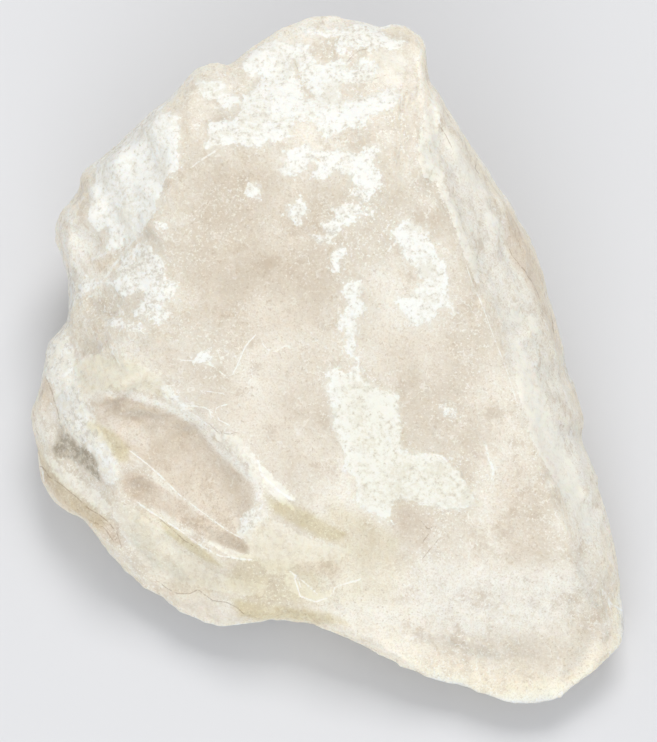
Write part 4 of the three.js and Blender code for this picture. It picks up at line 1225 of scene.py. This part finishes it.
def crusted(lay, colour, pattern):
    """The colour with haze and crust laid on it, and how much the crust covers."""
    crust, solid = lay.measured("crust"), lay.measured("solid")
    haze = lay.times(lay.ramp(crust, -0.3, 0.1), solid)
    haze = lay.times(haze, lay.between(pattern["holes"], 0.1, 1.3), HAZE_STRENGTH, clamp=True)
    colour = lay.lay(colour, CRUST_CREAM, haze)
    cover = crust_cover(lay, pattern, crust, solid)
    colour = lay.lay(colour, crust_colour(lay, pattern, solid), lay.times(cover, CRUST_STRENGTH))
    return colour, cover


print("the crust hides", CRUST_STRENGTH, "of the stone at most")

# %% [markdown]
# ## The finished quartz
#
# The bare stone is waxy, with a shine that varies, and the crust is dull. The bump is very fine,
# for what the mesh is too coarse to hold: the skin's grain, streaks on the flanks and the curds.

# %% The quartz and its crust
QUARTZ_IOR = 1.54
CRUST_ROUGHNESS = 0.85
GLOW_COLOUR = (1.0, 0.82, 0.62)
GLOW_DEPTHS = (0.5 * MM, 2.6 * MM)
RELIEF_STRENGTH = 0.8
RELIEF_DEPTH = 0.07 * MM


def fine_relief(lay, pattern):
    flanks = lay.times(pattern["streaks"], 0.9)
    ridges = lay.maths("MULTIPLY_ADD", lay.measured("broken"), flanks, pattern["skin"])
    curds = lay.times(pattern["curds"], 0.9)
    height = lay.maths("MULTIPLY_ADD", lay.measured("crust_cover"), curds, ridges)
    bump = {"Height": height, "Strength": RELIEF_STRENGTH, "Distance": RELIEF_DEPTH}
    return lay.node("ShaderNodeBump", bump).outputs[0]


def quartz_material():
    material = bpy.data.materials.new("milky quartz with white crust")
    material.use_nodes = True
    tree = material.node_tree
    tree.nodes.clear()
    lay = Layers(tree)
    output = lay.node("ShaderNodeOutputMaterial")
    pattern = stone_patterns(lay)
    stir = lay.between(pattern["stir"], 0.4, 1.5)
    colour = ground_colour(lay, pattern, stir)
    colour = veiled(lay, colour, pattern["grit"])
    colour = stained(lay, colour, pattern["grit"], stir)
    colour = lined(lay, colour, pattern["grit"], pattern["wobble"])
    colour, cover = crusted(lay, colour, pattern)
    shine = lay.between(pattern["glaze"], 0.3, 0.55)
    rough = lay.node("ShaderNodeMix", {0: cover, 2: shine, 3: CRUST_ROUGHNESS}).outputs[0]
    body = lay.node("ShaderNodeBsdfPrincipled", {
        "Base Color": colour, "Roughness": rough, "IOR": QUARTZ_IOR,
        "Normal": fine_relief(lay, pattern),
        "Subsurface Weight": lay.between(cover, 0.9, 0.4), "Subsurface Radius": GLOW_COLOUR,
        "Subsurface Scale": lay.between(lay.measured("rim"), *GLOW_DEPTHS)})
    lay.put(output.inputs["Surface"], body.outputs[0])
    return material


quartz_look = quartz_material()
print("material:", quartz_look.name, "with", len(quartz_look.node_tree.nodes), "nodes")

# %% [markdown]
# ## A broken skin, with Geometry Nodes
#
# Up close the skin is never smooth. It rises and falls by a few hundredths of a millimetre, the
# broken flanks are scarred by small scallops, and the crust stands a little proud. That follows
# one rule all over the surface, so it is a Geometry Nodes tree that moves every corner along its
# normal by noise, and moves none that touches the table. Its sizes are named inputs, in mm, so that
# one can try a coarser stone without touching the tree. It also keeps how much crust covers each
# corner, for the material's bump.

# %% Build the tree
SKIN_SIZES = {
    "Lump size": 2.6,
    "Lump height": 0.1,
    "Scallop size": 2.2,
    "Scallop height": 0.3,
    "Grain size": 0.7,
    "Grain height": 0.05,
    "Crust height": 0.05,
    "Table": 0.05,
}
SEED = 11
SMALL_SCALLOP_SIZE = 0.4
SMALL_SCALLOP_HEIGHT = 0.3
LEAST_SCARRED = 0.12
CRUST_RAGGED = 1.3
TABLE_FADE = 12.0


def skin_tree(material):
    tree = bpy.data.node_groups.new("broken skin", "GeometryNodeTree")
    add = tree.interface.new_socket
    add("Geometry", in_out="INPUT", socket_type="NodeSocketGeometry")
    for name in SKIN_SIZES:
        add(name, in_out="INPUT", socket_type="NodeSocketFloat")
    add("Seed", in_out="INPUT", socket_type="NodeSocketFloat")
    add("Geometry", in_out="OUTPUT", socket_type="NodeSocketGeometry")
    lay = Layers(tree)
    given = lay.node("NodeGroupInput").outputs
    result = lay.node("NodeGroupOutput")
    place = lay.node("GeometryNodeInputPosition").outputs[0]
    where = lay.node("ShaderNodeVectorMath", {0: place, "Scale": 1 / MM}, operation="SCALE").outputs[0]

    def bumps(size, height):
        scale = lay.maths("DIVIDE", 1.0, size)
        inputs = {"Vector": where, "W": given["Seed"], "Scale": scale, "Detail": 4.0,
                  "Roughness": 0.6}
        field = lay.node("ShaderNodeTexNoise", inputs, noise_dimensions="4D").outputs[0]
        return lay.times(lay.maths("SUBTRACT", field, 0.5), height, 2.0)

    def scallops(size, height):
        bend = lay.node("ShaderNodeTexNoise", {"Vector": where, "Scale": 0.5, "Detail": 3.0})
        bend = lay.node("ShaderNodeVectorMath", {0: bend.outputs[1], "Scale": size},
                        operation="SCALE").outputs[0]
        bent = lay.node("ShaderNodeVectorMath", {0: where, 1: bend}).outputs[0]
        cells = {"Vector": bent, "Scale": lay.maths("DIVIDE", 1.0, size)}
        away = lay.node("ShaderNodeTexVoronoi", cells).outputs["Distance"]
        return lay.times(lay.maths("SUBTRACT", lay.times(away, away), 0.25), height)

    def kept_on_mesh(name):
        return lay.node("GeometryNodeInputNamedAttribute", {"Name": name},
                        data_type="FLOAT").outputs[0]

    big = scallops(given["Scallop size"], given["Scallop height"])
    small = scallops(lay.times(given["Scallop size"], SMALL_SCALLOP_SIZE),
                     lay.times(given["Scallop height"], SMALL_SCALLOP_HEIGHT))
    scarred = lay.between(kept_on_mesh("broken"), LEAST_SCARRED, 1.0)
    scars = lay.times(lay.maths("ADD", big, small), scarred)
    lumps = bumps(given["Lump size"], given["Lump height"])
    grains = bumps(given["Grain size"], given["Grain height"])
    ragged = lay.swing(lay.noise(where, *PATTERNS["fray"]), CRUST_RAGGED)
    covered = lay.ramp(lay.maths("ADD", kept_on_mesh("crust"), ragged), -0.15, 0.2)
    raised = lay.times(covered, given["Crust height"])
    height = lay.maths("ADD", lay.maths("ADD", lay.maths("ADD", lumps, grains), raised), scars)
    low = lay.node("ShaderNodeSeparateXYZ", {0: where}).outputs[2]
    off_table = lay.ramp(low, given["Table"], lay.times(given["Table"], TABLE_FADE))
    move = lay.times(height, off_table, MM)
    normal = lay.node("GeometryNodeInputNormal").outputs[0]
    offset = lay.node("ShaderNodeVectorMath", {0: normal, "Scale": move}, operation="SCALE").outputs[0]
    moved = lay.node("GeometryNodeSetPosition", {"Geometry": given["Geometry"], "Offset": offset})
    kept = lay.node("GeometryNodeStoreNamedAttribute", {
        "Geometry": moved.outputs[0], "Name": "crust_cover", "Value": covered}, data_type="FLOAT")
    whole = lay.node("GeometryNodeRealizeInstances", {"Geometry": kept.outputs[0]})
    dressed = lay.node("GeometryNodeSetMaterial", {"Geometry": whole.outputs[0], "Material": material})
    lay.put(result.inputs[0], dressed.outputs[0])
    return tree


skin = skin_tree(quartz_look)
print("tree:", skin.name, "with", len(skin.nodes), "nodes")

# %% [markdown]
# A modifier's inputs are set by each socket's identifier, which stays the same if a name is
# changed. The result then becomes a plain mesh, so that the piece needs no modifier later.

# %% Run the tree and keep its result as a plain mesh
modifier = quartz.modifiers.new("broken skin", "NODES")
modifier.node_group = skin
for item in skin.interface.items_tree:
    if item.in_out == "INPUT" and item.socket_type == "NodeSocketFloat":
        modifier[item.identifier] = float({**SKIN_SIZES, "Seed": SEED}[item.name])
bpy.context.view_layer.update()
shaped = bpy.data.meshes.new_from_object(quartz.evaluated_get(bpy.context.evaluated_depsgraph_get()))
quartz.modifiers.clear()
quartz.data = shaped
shaped.shade_smooth()
print("the finished skin has", len(shaped.polygons), "triangles")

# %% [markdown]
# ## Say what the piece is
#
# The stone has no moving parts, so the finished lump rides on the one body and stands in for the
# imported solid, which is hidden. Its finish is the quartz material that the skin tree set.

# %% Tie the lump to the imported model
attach(quartz, "root")
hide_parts("stone")
print("the lump stands for the packed stone")

# %% [markdown]
# ## Floor, light and camera
#
# The floor is a plain, pale, flat sheet, much wider than the picture.

# %% The floor
FLOOR_SIDE = 1.6
FLOOR_COLOUR = linear(218, 218, 220)

floor_mesh = bpy.data.meshes.new("floor")
half = FLOOR_SIDE / 2
floor_corners = [(-half, -half, 0), (half, -half, 0), (half, half, 0), (-half, half, 0)]
floor_mesh.from_pydata(floor_corners, [], [(0, 1, 2, 3)])
floor = bpy.data.objects.new("floor", floor_mesh)
bpy.context.collection.objects.link(floor)
paint = bpy.data.materials.new("pale floor")
paint.use_nodes = True
shader = paint.node_tree.nodes["Principled BSDF"]
shader.inputs["Base Color"].default_value = FLOOR_COLOUR
shader.inputs["Roughness"].default_value = 0.75
floor_mesh.materials.append(paint)
print("floor", FLOOR_SIDE, "m across")

# %% [markdown]
# Two soft lights and an even, faintly blue room light the stone. The window light stands high
# beyond the stone's far end, so its shadow falls towards the viewer and a darker line shows under
# the near edge. The wider fill light stands on the viewer's side and lower, and keeps that edge
# pale.

# %% The lights
ROOM_COLOUR = (0.97, 0.985, 1.0, 1.0)
ROOM_STRENGTH = 0.54
LIGHTS_AIM = Vector((0, 0, 0.01))


def soft_light(name, place, size, watts, colour):
    """A square area light that points at the stone."""
    data = bpy.data.lights.new(name, "AREA")
    data.size = size
    data.energy = watts
    data.color = colour
    light = bpy.data.objects.new(name, data)
    light.location = place
    light.rotation_euler = (LIGHTS_AIM - light.location).to_track_quat("-Z", "Y").to_euler()
    bpy.context.collection.objects.link(light)
    return light


soft_light("window light", place=(0.06, 0.24, 0.44), size=0.26, watts=1.15,
           colour=(1.0, 0.993, 0.98))
soft_light("fill light", place=(-0.06, -0.4, 0.32), size=0.4, watts=1.25,
           colour=(0.96, 0.98, 1.0))
world = bpy.data.worlds.new("soft room")
world.use_nodes = True
background = world.node_tree.nodes["Background"]
background.inputs["Color"].default_value = ROOM_COLOUR
background.inputs["Strength"].default_value = ROOM_STRENGTH
bpy.context.scene.world = world
bpy.context.scene.view_settings.view_transform = "Standard"
print("lights are set")

# %% [markdown]
# The camera looks straight at the wide face, from the distance that the marks were placed for. Its
# lens is as long as it takes to show a picture of the given height.

# %% The camera
SENSOR = 36.0
PICTURE_HEIGHT = 53.0

lens = bpy.data.cameras.new("camera")
lens.sensor_width = SENSOR
lens.lens = SENSOR * CAMERA_AWAY / PICTURE_HEIGHT
lens.clip_start = 0.01
lens.clip_end = 10
camera = bpy.data.objects.new("camera", lens)
camera.location = (FACE_MIDDLE + CAMERA_AWAY * OUT) * MM
camera.rotation_euler = (LEAN, 0, 0)
bpy.context.collection.objects.link(camera)
bpy.context.scene.camera = camera
print("lens", round(lens.lens, 1), "mm")
